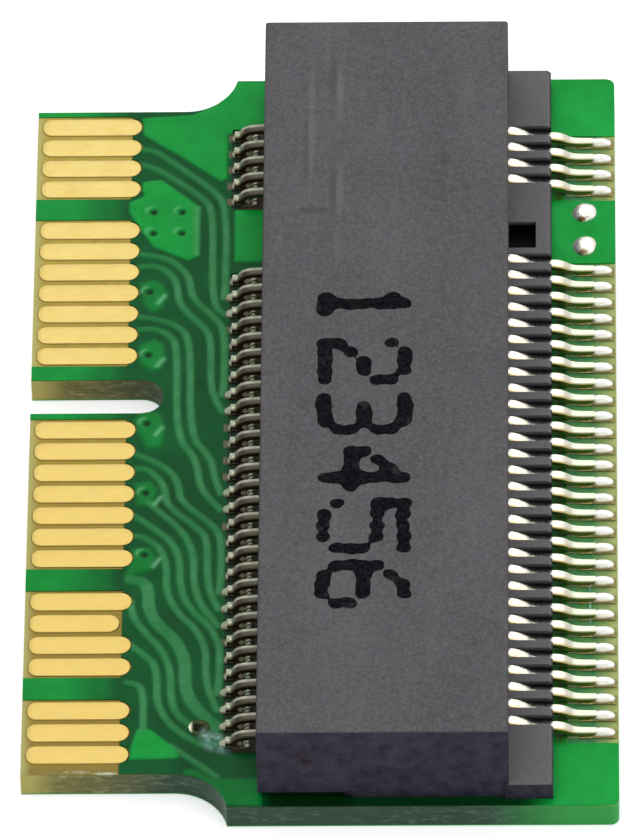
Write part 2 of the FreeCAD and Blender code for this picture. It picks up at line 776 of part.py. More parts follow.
# Each route leaves a finger, turns into a lane, runs down it and ends on a pad.
# Pairs start close together and keep to neighbouring lanes.  Corners near a finger are
# placed from its centre line, and corners near a pad from the contact's.
signal_paths = [
    path((tip_x, f_y(1)), (-3.90, f_y(1) - 0.12), (lane(0), f_y(1) - 1.76),
         (lane(0), c_y(55) + 0.30), (pad_edge, c_y(55))),
    path((tip_x, f_y(2)), (-3.98, f_y(2) + 0.14), (lane(1), f_y(2) - 1.27),
         (lane(1), c_y(53) + 0.70), (pad_edge, c_y(53))),
    path((tip_x, f_y(6)), (-3.75, f_y(6) - 0.14), (-3.09, f_y(6) - 1.01),
         (lane(0), f_y(6) - 2.39), (lane(0), c_y(43) + 0.35), (pad_edge, c_y(43))),
    path((tip_x, f_y(7)), (-3.85, f_y(7) + 0.16), (-3.41, f_y(7) - 0.56),
         (lane(1), f_y(7) - 1.99), (lane(1), c_y(41) + 0.80), (pad_edge, c_y(41))),
    path((tip_x, f_y(9)), (-3.72, f_y(9) - 0.19), (-3.06, f_y(9) - 0.89),
         (-3.06, c_y(31) + 1.75), (-2.53, c_y(31) + 0.97), (pad_edge, c_y(31))),
    path((tip_x, f_y(10)), (-3.85, f_y(10) + 0.21), (-3.39, f_y(10) - 0.31),
         (-3.39, c_y(29) + 2.23), (-2.85, c_y(29) + 1.39), (pad_edge, c_y(29))),
    path((tip_x, f_y(13)), (-3.90, f_y(13) - 0.23), (-3.28, f_y(13) - 1.11),
         (lane(0), f_y(13) - 2.49), (lane(0), c_y(19) + 0.40), (pad_edge, c_y(19))),
    path((tip_x, f_y(14)), (-3.98, f_y(14) + 0.08), (-3.59, f_y(14) - 0.62),
         (lane(1), f_y(14) - 1.92), (lane(1), c_y(17) + 0.67), (pad_edge, c_y(17))),
    path((tip_x, f_y(16)), (-3.98, f_y(16) - 0.22), (lane(3), f_y(16) - 0.98),
         (lane(3), f_y(16) - 2.54), (lane(0), f_y(16) - 3.58), (lane(0), c_y(7) + 0.43),
         (pad_edge, c_y(7))),
    path((tip_x, f_y(17)), (-4.05, f_y(17) + 0.04), (lane(4), f_y(17) - 0.49),
         (lane(4), f_y(17) - 1.97), (lane(1), f_y(17) - 3.01), (lane(1), c_y(5) + 0.77),
         (pad_edge, c_y(5))),
    path((tip_x, f_y(20)), (-4.24, f_y(20) - 0.58), (-3.38, f_y(20) - 1.68),
         (-3.38, ring_y.value + 0.52), (ring_x.value - 0.14, ring_y.value)),
    path((tip_x, f_y(22)), (-4.02, f_y(22) - 0.24), (-3.69, f_y(22) - 0.60),
         (-3.69, f_y(22) - 2.02), (-2.72, c_y(1) - 0.09), (pad_edge, c_y(1))),
]
ground_paths = [
    (path((-3.98, f_y(15) - 0.23), (lane(2), f_y(15) - 1.39), (lane(2), c_y(15) + 0.89),
          (pad_edge, c_y(15))), 1.0),
    (path((-4.35, f_y(18) - 0.60), (-3.92, f_y(18) - 0.72), (-3.92, f_y(18) - 1.74),
          (-3.06, f_y(18) - 2.68), (-3.06, c_y(3) + 0.83), (pad_edge, c_y(3))), 1.8),
    (path((-4.38, f_y(23) - 0.43), (-3.99, f_y(23) - 0.53), (-3.99, f_y(23) - 1.91)), 1.0),
    (path((-3.35, c_y(1) - 0.07), (-2.30, c_y(1) - 0.97)), 1.0),
]
ground_islands = [
    [(-4.20, 9.86), (-4.20, 9.40), (-3.80, 9.08), (-3.38, 8.76), (-2.42, 7.96), (-2.34, 8.02),
     (-2.34, 9.44), (-1.75, 9.44), (-1.75, 10.80), (-2.05, 10.80), (-2.40, 10.22), (-3.00, 9.90)],
    [(-4.20, 7.84), (-3.84, 7.90), (-2.96, 7.06), (-2.96, 5.60), (-3.16, 5.48), (-3.82, 5.84),
     (-4.16, 6.66), (-4.50, 6.96), (-4.50, 7.22), (-4.16, 7.40)],
    [(-4.20, 4.66), (-3.98, 4.74), (-3.78, 4.64), (-3.68, 4.34), (-3.78, 4.00), (-3.94, 3.88),
     (-4.10, 4.04)],
    [(-4.20, 2.74), (-3.92, 2.90), (-3.78, 2.80), (-3.70, 2.50), (-3.78, 2.12), (-3.94, 2.06),
     (-4.14, 2.24)],
    [(-4.26, 0.50), (-4.08, 0.68), (-3.82, 0.66), (-3.72, 0.40), (-3.70, -0.08), (-3.78, -0.30),
     (-4.00, -0.30), (-4.14, 0.00)],
    [(-4.24, -1.50), (-3.98, -1.44), (-3.82, -1.64), (-3.90, -2.00), (-4.18, -2.04)],
    [(-4.28, -3.48), (-3.96, -3.46), (-3.84, -3.68), (-3.94, -4.02), (-4.40, -4.20),
     (-4.30, -3.90)],
    [(-4.22, -9.42), (-4.08, -8.86), (-3.86, -8.86), (-3.14, -9.52), (-3.08, -9.68),
     (-4.22, -9.68)],
]

copper_z = copper_low.value
cover_z = top.value
trace = trace_wide.value
lap = ridge_lap.value

traces = [ribbon(points, trace, copper_z, layer.value) for points in signal_paths]
pours = [ribbon(points, trace * share, copper_z, layer.value) for points, share in ground_paths]
pours += [plate(points, copper_z, layer.value) for points in ground_islands]
covers = [ribbon(points, trace + lap * 2, cover_z, ridge.value, lap) for points in signal_paths]
covers += [ribbon(points, trace * share + lap * 2, cover_z, ridge.value, lap)
           for points, share in ground_paths]
covers += [plate(points, cover_z, ridge.value, lap) for points in ground_islands]

doc.recompute()


bores = [open_bores.Shape]
ring_seat = prism("ring_seat", ring_x, ring_y, ring_radius, copper_low, layer + ring_tall)
collars = gather("dome_collars", [
    prism("dome_collar_%d" % number, x, y, via_bore + via_wall, copper_low, layer)
    for number, (x, y) in enumerate(filled_vias)])
doc.recompute()
bare = [body.Shape for body in top_fingers] + [rear_pads.Shape]
finger_window = Part.makeBox(
    finger_long.value + finger_inset.value, tongue_length.value, 1.0,
    V(left_x.value, -tongue_length.value / 2, cover_z))
row_windows = [
    Part.makeBox((high_pad_in - high_pad_out).value,
                 (contact_y(last) - contact_y(first) + pad_wide + gang_lap * 2).value, 1.0,
                 V(high_pad_out.value, (contact_y(first) - pad_wide / 2 - gang_lap).value, cover_z))
    for first, last in (UPPER_MAIN, UPPER_KEY)]

signal_traces = doc.addObject("Part::Feature", "signal_traces_top")
signal_traces.Shape = Part.makeCompound(
    traces[0].fuse(traces[1:]).cut(bare + [ring_seat.Shape]).Solids)
ground_pours = doc.addObject("Part::Feature", "ground_pours_top")
ground_pours.Shape = Part.makeCompound(
    pours[0].fuse(pours[1:]).cut(bare + bores + [ring_seat.Shape, signal_traces.Shape]).Solids)
cover = doc.addObject("Part::Feature", "buried_copper_cover")
cover.Shape = covers[0].fuse(covers[1:]).cut(
    bores + row_windows + [ring_seat.Shape, finger_window])


# ---------------------------------------------------------------- solder mask

def window(first, last, open_low=False):
    """Opening in the lacquer over a group of neighbouring fingers."""
    upper_edge = finger_y(first) + finger_width / 2 + window_lap
    lower_edge = finger_y(last) - finger_width / 2 - window_lap
    if open_low:
        lower_edge = -(tongue_length / 2) - over
    return rectangle_loop(left_x - over, finger_tip, lower_edge, upper_edge)


def gang(x0, x1, first, last):
    """Opening in the lacquer over a row of solder pads."""
    return rectangle_loop(x0, x1, contact_y(first) - pad_wide / 2 - gang_lap,
                          contact_y(last) + pad_wide / 2 + gang_lap)


mask_sheet = board_sheet("top_lacquer_sheet", copper_low, layer)
top_windows = [window(first, last, last == 27) for first, last in TOP_GROUPS]
rows = [gang(high_pad_out, high_pad_in, *UPPER_MAIN), gang(high_pad_out, high_pad_in, *UPPER_KEY),
        gang(low_pad_in, right_x + over, *LOWER_MAIN), gang(low_pad_in, right_x + over, *LOWER_KEY)]
cut_windows(mask_sheet, "top_window", top_windows + rows, copper_low, top)
for number, (x, y, r) in enumerate(pegs):
    drill(mask_sheet, "top_peg_opening_%d" % number, [(x, y)], r + peg_play, copper_low, top)

covered = doc.addObject("Part::MultiFuse", "lacquer_over_copper")
covered.Shapes = [mask_sheet, cover]
covered.Refine = True
mask_top = subtract("solder_mask_top", covered, gather("top_copper_and_bores", [
    signal_traces, ground_pours, open_bores, collars, ring_seat]))

mask_bottom = board_sheet("solder_mask_bottom", 0, layer)
cut_windows(mask_bottom, "bottom_window",
            [window(first, last) for first, last in BOTTOM_GROUPS], 0, layer)
for number, (x, y, r) in enumerate(pegs):
    drill(mask_bottom, "bottom_peg_opening_%d" % number, [(x, y)], r + peg_play, as_size(0), layer)


# ---------------------------------------------------------------- tinned vias

def dome(number, x, y):
    """Solder plug down through the board, with a rounded head on its collar."""
    flat = prism("dome_flat_%d" % number, x, y, dome_radius, top, layer)
    stem = prism("dome_stem_%d" % number, x, y, via_bore, layer, core_thick)
    head = prism("dome_head_%d" % number, x, y, dome_radius * DOME_NECK, top + layer,
                 dome_tall - layer)
    plug = doc.addObject("Part::MultiFuse", "dome_%d" % number)
    plug.Shapes = [flat, stem, head, collars.Links[number]]
    return plug


tinned = gather("tinned_vias", [dome(number, x, y) for number, (x, y) in enumerate(filled_vias)]
                + [subtract("tinned_ring", ring_seat, open_bores)])

doc.recompute()


# ---------------------------------------------------------------- hand over

nodes = [
    board_core, mask_top, mask_bottom, signal_traces, ground_pours, via_barrels, tinned,
    rear_pads, front_pads, solder_rear, solder_front, socket_housing,
    upper_main, upper_key, lower_main, lower_key,
] + top_fingers + bottom_fingers

for thing in doc.Objects:
    for word in ("Invalid", "Error"):
        if word in thing.State:
            raise RuntimeError("%s is in state %s" % (thing.Name, thing.State))

os.makedirs("parts", exist_ok=True)
for node in nodes:
    node.Label = node.Name
    shape = node.Shape
    if shape.isNull() or not shape.isValid():
        raise RuntimeError("%s has no valid shape" % node.Name)
    if not shape.Solids:
        raise RuntimeError("%s has no solid" % node.Name)
    shape.exportStep("parts/%s.step" % node.Name)
    print("%-22s solids %3d faces %4d volume %9.4f"
          % (node.Name, len(shape.Solids), len(shape.Faces), shape.Volume))
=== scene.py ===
# %% [markdown]
# # A small adapter card
# The object is a thin green printed board.  One long side ends in gold fingers that
# plug into a computer; the other side carries a low black socket that takes a storage
# module.  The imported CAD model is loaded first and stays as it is: it fixes every size,
# and all other pieces take their places from its boxes.  What Blender adds is the finish
# of every surface, and the soft shapes that plain CAD solids lack: relief in the lacquer,
# eased edges on the metal, solder and ink.

# %% Load the frame
import math

import bpy
import numpy as np
from mathutils import Matrix, Vector


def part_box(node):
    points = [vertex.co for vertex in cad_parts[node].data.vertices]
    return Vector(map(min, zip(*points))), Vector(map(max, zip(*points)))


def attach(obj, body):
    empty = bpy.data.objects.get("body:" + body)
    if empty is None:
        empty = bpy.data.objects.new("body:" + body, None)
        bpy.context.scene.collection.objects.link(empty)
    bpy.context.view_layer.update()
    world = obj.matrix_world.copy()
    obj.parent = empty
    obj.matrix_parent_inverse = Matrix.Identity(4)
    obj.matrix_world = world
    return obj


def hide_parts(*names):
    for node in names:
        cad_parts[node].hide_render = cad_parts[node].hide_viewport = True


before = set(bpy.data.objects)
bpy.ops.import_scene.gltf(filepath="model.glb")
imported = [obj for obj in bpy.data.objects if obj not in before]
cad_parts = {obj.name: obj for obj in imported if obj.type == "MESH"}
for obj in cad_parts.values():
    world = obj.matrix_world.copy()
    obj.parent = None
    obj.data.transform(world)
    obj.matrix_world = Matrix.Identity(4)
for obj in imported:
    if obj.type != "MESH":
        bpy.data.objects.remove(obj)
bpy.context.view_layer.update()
MM = 0.001


# %% [markdown]
# ## Sizes taken from the frame
# Everything below works in millimetres, because the card is small and its details are
# tenths of a millimetre.  Boxes of the CAD nodes are read once and turned into
# millimetres; a mesh goes back to metres when it is written.

# %% Boxes in millimetres
def box_mm(node):
    """Lowest and highest corner of a CAD node, in millimetres."""
    low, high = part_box(node)
    return np.array(low) / MM, np.array(high) / MM


board_low, board_high = box_mm("board_core")
lacquer_low, lacquer_high = box_mm("solder_mask_top")
house_low, house_high = box_mm("socket_housing")
print("board", board_low.round(3), board_high.round(3))
print("lacquer", lacquer_low.round(3), lacquer_high.round(3))
print("housing", house_low.round(3), house_high.round(3))


# %% [markdown]
# ## Camera
# A long lens from about a third of a metre keeps the card's long sides nearly parallel.
# The camera stands in front of the near end of the card, half-way up to the zenith, and
# leans over by a degree and a half.  It aims near the middle of the board's upper face.
# Its turn could be set as three Euler angles, but those are hard to picture.  Here it is
# built from a way round, a way up and a lean, so that each number can be read by itself.

# %% Place the camera
CAMERA_AWAY = 340.9
CAMERA_UP = math.radians(48.44)
CAMERA_ROUND = math.radians(1.55)
CAMERA_LEAN = math.radians(-1.46)
AIM_SIDE, AIM_ALONG = -0.075, 0.52
SENSOR, FOCAL = 36.0, 639.6


def camera_turn(round_angle, up_angle, lean):
    """Rotation whose third column points from the object back to the camera."""
    back = Vector((math.sin(round_angle) * math.cos(up_angle),
                   -math.cos(round_angle) * math.cos(up_angle), math.sin(up_angle)))
    right = Vector((0, 0, 1)).cross(back).normalized()
    up = back.cross(right)
    leaned_right = right * math.cos(lean) + up * math.sin(lean)
    leaned_up = up * math.cos(lean) - right * math.sin(lean)
    return Matrix((leaned_right, leaned_up, back)).transposed(), back


LACQUER_THICK = board_low[2]
board_face = lacquer_low[2] + LACQUER_THICK
camera_data = bpy.data.cameras.new("camera")
camera = bpy.data.objects.new("camera", camera_data)
bpy.context.scene.collection.objects.link(camera)
turn, back = camera_turn(CAMERA_ROUND, CAMERA_UP, CAMERA_LEAN)
aim = Vector((AIM_SIDE, AIM_ALONG, board_face)) * MM
camera.matrix_world = Matrix.Translation(aim + back * CAMERA_AWAY * MM) @ turn.to_4x4()
camera_data.sensor_width = SENSOR
camera_data.lens = FOCAL
camera_data.clip_start = 0.01
camera_data.clip_end = 10.0
bpy.context.scene.camera = camera
print("camera at", [round(v, 4) for v in camera.location], "lens", FOCAL)


# %% [markdown]
# ## Light
# Metal shows what surrounds it.  A wide soft box behind the card gives the gold and the
# tin their brightness, a second one hangs overhead and a third stands to the right.  The
# near side gets only the plain sky, so walls that face the viewer stay darker than the
# upper faces.  A studio picture wrapped round the scene would do the same, but it needs a
# file, and these four lights can each be turned up or down.  The sky is a soft pale blue
# where it lights the card.  Light Path makes it plain white where the camera or a mirror
# sees it, so the backdrop is clean from every side.

# %% Hang the soft boxes
def soft_box(name, round_deg, up_deg, away, width, height, radiance):
    """Rectangular light aimed at the card; its power is radiance times pi times its area."""
    data = bpy.data.lights.new(name, "AREA")
    data.shape = "RECTANGLE"
    data.size, data.size_y = width, height
    data.energy = radiance * math.pi * width * height
    lamp = bpy.data.objects.new(name, data)
    bpy.context.scene.collection.objects.link(lamp)
    facing, toward = camera_turn(math.radians(round_deg), math.radians(up_deg), 0.0)
    lamp.matrix_world = Matrix.Translation(toward * away) @ facing.to_4x4()
    return lamp


soft_box("back_soft_box", 180.0, 50.0, 0.40, 0.42, 0.30, 1.3)
soft_box("top_soft_box", -40.0, 84.0, 0.40, 0.26, 0.26, 1.7)
soft_box("right_soft_box", 75.0, 35.0, 0.40, 0.16, 0.22, 2.6)

world = bpy.data.worlds.new("plain_sky")
bpy.context.scene.world = world
world.use_nodes = True
sky = world.node_tree.nodes
sky["Background"].inputs["Color"].default_value = (0.93, 0.95, 1.0, 1.0)
sky["Background"].inputs["Strength"].default_value = 0.55
white = sky.new("ShaderNodeBackground")
white.inputs["Color"].default_value = (1.0, 1.0, 1.0, 1.0)
path, seen, mirrored, mix = (sky.new(kind) for kind in (
    "ShaderNodeLightPath", "ShaderNodeMath", "ShaderNodeMath", "ShaderNodeMixShader"))
seen.operation = mirrored.operation = "MAXIMUM"
wire = world.node_tree.links.new
wire(path.outputs["Is Camera Ray"], seen.inputs[0])
wire(path.outputs["Is Glossy Ray"], seen.inputs[1])
wire(seen.outputs[0], mirrored.inputs[0])
wire(path.outputs["Is Transmission Ray"], mirrored.inputs[1])
wire(mirrored.outputs[0], mix.inputs[0])
wire(sky["Background"].outputs[0], mix.inputs[1])
wire(white.outputs[0], mix.inputs[2])
wire(mix.outputs[0], sky["World Output"].inputs["Surface"])
bpy.context.scene.view_settings.view_transform = "Standard"


# %% [markdown]
# ## A recipe for finishes
# Every finish is a small node tree.  It could be drawn by hand in the shader editor; a
# helper with short calls keeps each finish to a few lines that read like a recipe.  The
# pattern reads Object coordinates, turned into millimetres, so that a noise scale of 5
# means about five grains in a millimetre.

# %% The recipe helper
class Finish:
    """A material with one Principled shader and short ways to add pattern nodes."""

    def __init__(self, name):
        self.material = bpy.data.materials.new(name)
        self.material.use_nodes = True
        self.tree = self.material.node_tree
        self.shader = self.tree.nodes["Principled BSDF"]
        place = self.add("ShaderNodeTexCoord").outputs["Object"]
        scaled = self.add("ShaderNodeVectorMath", operation="SCALE")
        scaled.inputs["Scale"].default_value = 1.0 / MM
        self.link(place, scaled.inputs[0])
        self.place = scaled.outputs[0]
        self.split = None

    def add(self, kind, **settings):
        """A new node with some of its settings changed."""
        node = self.tree.nodes.new(kind)
        for key, value in settings.items():
            setattr(node, key, value)
        return node

    def link(self, source, target):
        """A wire from an output to an input."""
        self.tree.links.new(source, target)

    def feed(self, target, value):
        """Link a socket, or set a plain value on it."""
        if isinstance(value, bpy.types.NodeSocket):
            self.link(value, target)
        elif isinstance(value, (tuple, list)) and len(value) == 3 and target.type == "RGBA":
            target.default_value = (*value, 1.0)
        else:
            target.default_value = value

    def stretch(self, along_x, along_y, along_z):
        """The place, scaled along each axis; a small number draws grains out along it."""
        node = self.add("ShaderNodeMapping")
        node.inputs["Scale"].default_value = (along_x, along_y, along_z)
        self.link(self.place, node.inputs["Vector"])
        return node.outputs["Vector"]

    def axis(self, letter):
        """One coordinate of the place, in millimetres."""
        if self.split is None:
            self.split = self.add("ShaderNodeSeparateXYZ")
            self.link(self.place, self.split.inputs[0])
        return self.split.outputs[letter]

    def noise(self, scale, detail=2.0, rough=0.5, place=None):
        """Soft random cloud, from 0 to 1 about a middle of one half."""
        node = self.add("ShaderNodeTexNoise")
        node.inputs["Scale"].default_value = scale
        node.inputs["Detail"].default_value = detail
        node.inputs["Roughness"].default_value = rough
        self.link(place or self.place, node.inputs["Vector"])
        return node.outputs["Fac"]

    def reading(self, name):
        """Value of a vertex attribute."""
        return self.add("ShaderNodeAttribute", attribute_name=name).outputs["Fac"]

    def oval(self, letters, middle, reach):
        """One inside an oval over two coordinates, fading to zero at its rim."""
        shares = []
        for letter, centre, half in zip(letters, middle, reach):
            off = self.sum("DIVIDE", self.sum("SUBTRACT", self.axis(letter), centre), half)
            shares.append(self.sum("MULTIPLY", off, off))
        return self.remap(self.sum("ADD", *shares), 1.2, 0.4)

    def remap(self, value, low, high, out_low=0.0, out_high=1.0):
        """Straight-line change of range, clamped."""
        node = self.add("ShaderNodeMapRange")
        for socket, number in zip(node.inputs[1:5], (low, high, out_low, out_high)):
            socket.default_value = number
        self.link(value, node.inputs[0])
        return node.outputs[0]

    def sum(self, kind, first, second):
        """One step of arithmetic; kind is the Math node's operation."""
        node = self.add("ShaderNodeMath", operation=kind)
        self.feed(node.inputs[0], first)
        self.feed(node.inputs[1], second)
        return node.outputs[0]

    def blend(self, share, first, second):
        """Colour between two colours."""
        node = self.add("ShaderNodeMix", data_type="RGBA")
        self.feed(node.inputs["Factor"], share)
        self.feed(node.inputs[6], first)
        self.feed(node.inputs[7], second)
        return node.outputs[2]

    def height(self, value, depth_mm, strength=1.0, after=None):
        """Small relief: value times depth."""
        node = self.add("ShaderNodeBump")
        node.inputs["Strength"].default_value = strength
        node.inputs["Distance"].default_value = depth_mm * MM
        self.link(value, node.inputs["Height"])
        if after is not None:
            self.link(after, node.inputs["Normal"])
        return node.outputs["Normal"]

    def set(self, **values):
        """Give the shader its inputs; underscores stand for spaces."""
        for key, value in values.items():
            self.feed(self.shader.inputs[key.replace("_", " ")], value)
        return self.material


def dress(material, *nodes):
    """Put a finish on CAD nodes, in all of their material slots."""
    for name in nodes:
        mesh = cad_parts[name].data
        mesh.materials.clear()
        mesh.materials.append(material)
        print("%-22s keeps its CAD shape, finish %s" % (name, material.name))


print("finish helper ready")


# %% [markdown]
# ## Glass laminate
# Four pieces keep the shape the CAD gave them and only get a finish.  The first is the
# board's core, woven glass in resin: a dull green-grey with faint layers on its cut edges,
# more olive toward the fingers and bright green at the front.  A painted texture could
# show this, but it needs an unwrapped mesh and a file.  Here clouds of noise give the
# grain, and single coordinates say where one tone gives way to another.

# %% Laminate
BOARD_TOP = lacquer_low[2]
rear_corner = box_mm("rear_pads")[0]


def laminate_finish():
    """Glass laminate: layered cut edges, and a woven upper face in four zones.

    Along X these are the strip between the fingers, the rear pads, the front pads and the front
    rim.  The strip between the fingers gets a painted shade that deepens toward -Y, and the
    laminate beside the rear pads is painted dark as the shade of the socket and the contacts over
    it.  Two pale glints lie at the near end of the finger zone.
    """
    f = Finish("laminate")
    layers = f.noise(2.0, 5.0, 0.65, f.stretch(0.45, 0.45, 11.0))
    weave = f.noise(3.5, 3.0, 0.6)
    frayed = f.noise(3.0, 5.0, 0.7, f.stretch(1.0, 1.0, 2.2))
    edge = f.blend(f.remap(layers, 0.36, 0.66), (0.012, 0.042, 0.024), (0.036, 0.082, 0.046))
    edge = f.blend(f.remap(frayed, 0.52, 0.70, 0.0, 0.65), edge, (0.13, 0.22, 0.155))
    olive = f.blend(f.remap(layers, 0.36, 0.66), (0.13, 0.120, 0.028), (0.27, 0.245, 0.075))
    olive = f.blend(f.remap(frayed, 0.50, 0.68, 0.0, 0.75), olive, (0.48, 0.44, 0.19))
    olive = f.blend(f.remap(f.axis("X"), -5.9, -6.5), olive, (0.50, 0.44, 0.12))
    edge = f.blend(f.remap(f.axis("X"), -5.6, -3.3), olive, edge)
    edge = f.blend(f.remap(f.axis("X"), 3.8, 5.6, 0.0, 0.75), edge, (0.03, 0.44, 0.06))
    flat = f.blend(f.remap(weave, 0.35, 0.7), (0.40, 0.28, 0.030), (0.50, 0.38, 0.060))
    # Painted shade below the fingers: the laminate between them darkens toward -Y.
    flat = f.blend(f.remap(f.axis("Y"), 8.0, -6.0, 0.0, 0.75), flat, (0.25, 0.150, 0.010))
    # Painted shade: beside the rear pads the laminate is near black, shaded by the socket and the
    # arched contacts over it.
    rear = f.blend(f.remap(weave, 0.35, 0.7), (0.040, 0.032, 0.016), (0.075, 0.054, 0.030))
    rear = f.blend(f.remap(f.axis("X"), rear_corner[0] + 0.45, rear_corner[0] + 0.25), rear,
                   (0.006, 0.036, 0.014))
    rear = f.blend(f.remap(f.axis("Y"), rear_corner[1] + 0.02, rear_corner[1] - 0.08), rear,
                   (0.002, 0.016, 0.006))
    front = f.blend(f.remap(weave, 0.35, 0.7), (0.035, 0.20, 0.075), (0.10, 0.30, 0.075))
    rim = f.blend(f.remap(weave, 0.35, 0.7), (0.30, 0.36, 0.10), (0.42, 0.46, 0.16))
    flat = f.blend(f.remap(f.axis("Y"), -9.80, -10.0, 0.0, 0.7), flat, (0.20, 0.165, 0.030))
    flat = f.blend(f.remap(f.axis("X"), -6.50, -6.68, 0.0, 0.7), flat, (0.46, 0.46, 0.16))
    for place in ((-5.45, -10.03), (-4.80, -10.08)):
        glint = f.sum("MULTIPLY", f.oval("XY", place, (0.30, 0.045)), f.remap(frayed, 0.42, 0.56))
        flat = f.blend(glint, flat, (0.52, 0.52, 0.34))
    flat = f.blend(f.remap(f.axis("X"), -4.0, -3.0), flat, rear)
    flat = f.blend(f.remap(f.axis("X"), 3.0, 4.0), flat, front)
    flat = f.blend(f.remap(f.axis("X"), 6.15, 6.62), flat, rim)
    tone = f.blend(f.remap(f.axis("Z"), BOARD_TOP - 0.02, BOARD_TOP - 0.005), edge, flat)
    bump = f.height(layers, 0.012, 0.5)
    return f.set(Base_Color=tone, Roughness=f.remap(weave, 0.3, 0.7, 0.45, 0.62), Normal=bump,
                 Specular_IOR_Level=0.25)


dress(laminate_finish(), "board_core")


# %% [markdown]
# ## Lacquer of the lower face
# The underside is lacquered too.  A flat colour would do for a face that is seldom seen,
# but a faint cloud and a fine bump keep its shine from looking like glass.

# %% Lower lacquer
def plain_lacquer_finish():
    """Green lacquer of an even, copper-backed face."""
    f = Finish("plain_lacquer")
    cloud = f.noise(0.55, 4.0, 0.55)
    fine = f.noise(9.0, 3.0, 0.6)
    tone = f.blend(f.remap(cloud, 0.3, 0.7), (0.006, 0.30, 0.045), (0.014, 0.40, 0.065))
    bump = f.height(fine, 0.004, 0.6)
    return f.set(Base_Color=tone, Roughness=f.remap(fine, 0.3, 0.7, 0.22, 0.36), Normal=bump,
                 Specular_IOR_Level=0.15)


dress(plain_lacquer_finish(), "solder_mask_bottom")


# %% [markdown]
# ## Socket plastic
# The socket is a black moulded plastic.  Its upper faces carry a painted grey sheen, mottled and
# with real rub marks, while its walls keep the dark plastic and its hollows get a painted
# near-black shade.  Two materials on two sets of faces would meet in a hard line, so one finish
# goes by height instead, and soft ovals add the rub marks and the gate, and two ramps the painted
# shadow at its foot.

# %% Socket plastic
LIP_EDGE, LIP_TOP = 4.255, BOARD_TOP + 0.03 + 0.50     # where the lip starts; how high it is

# Rub marks on the socket's top: middle, half length each way and strength of each oval.
DARK_RUBS = [((0.20, 9.05), (0.10, 0.95), 0.35), ((0.22, 5.55), (0.10, 0.80), 0.4),
             ((-0.41, 6.85), (0.08, 1.30), 0.30), ((-0.25, 4.92), (0.40, 0.11), 0.5),
             ((-0.28, 7.98), (0.14, 0.14), 0.5), ((2.80, 6.52), (0.12, 0.26), 0.45)]
PALE_RUBS = [((0.37, 8.60), (0.09, 0.90), 0.30), ((0.38, 5.50), (0.09, 0.90), 0.30),
             ((-0.28, 7.75), (0.09, 1.90), 0.30)]


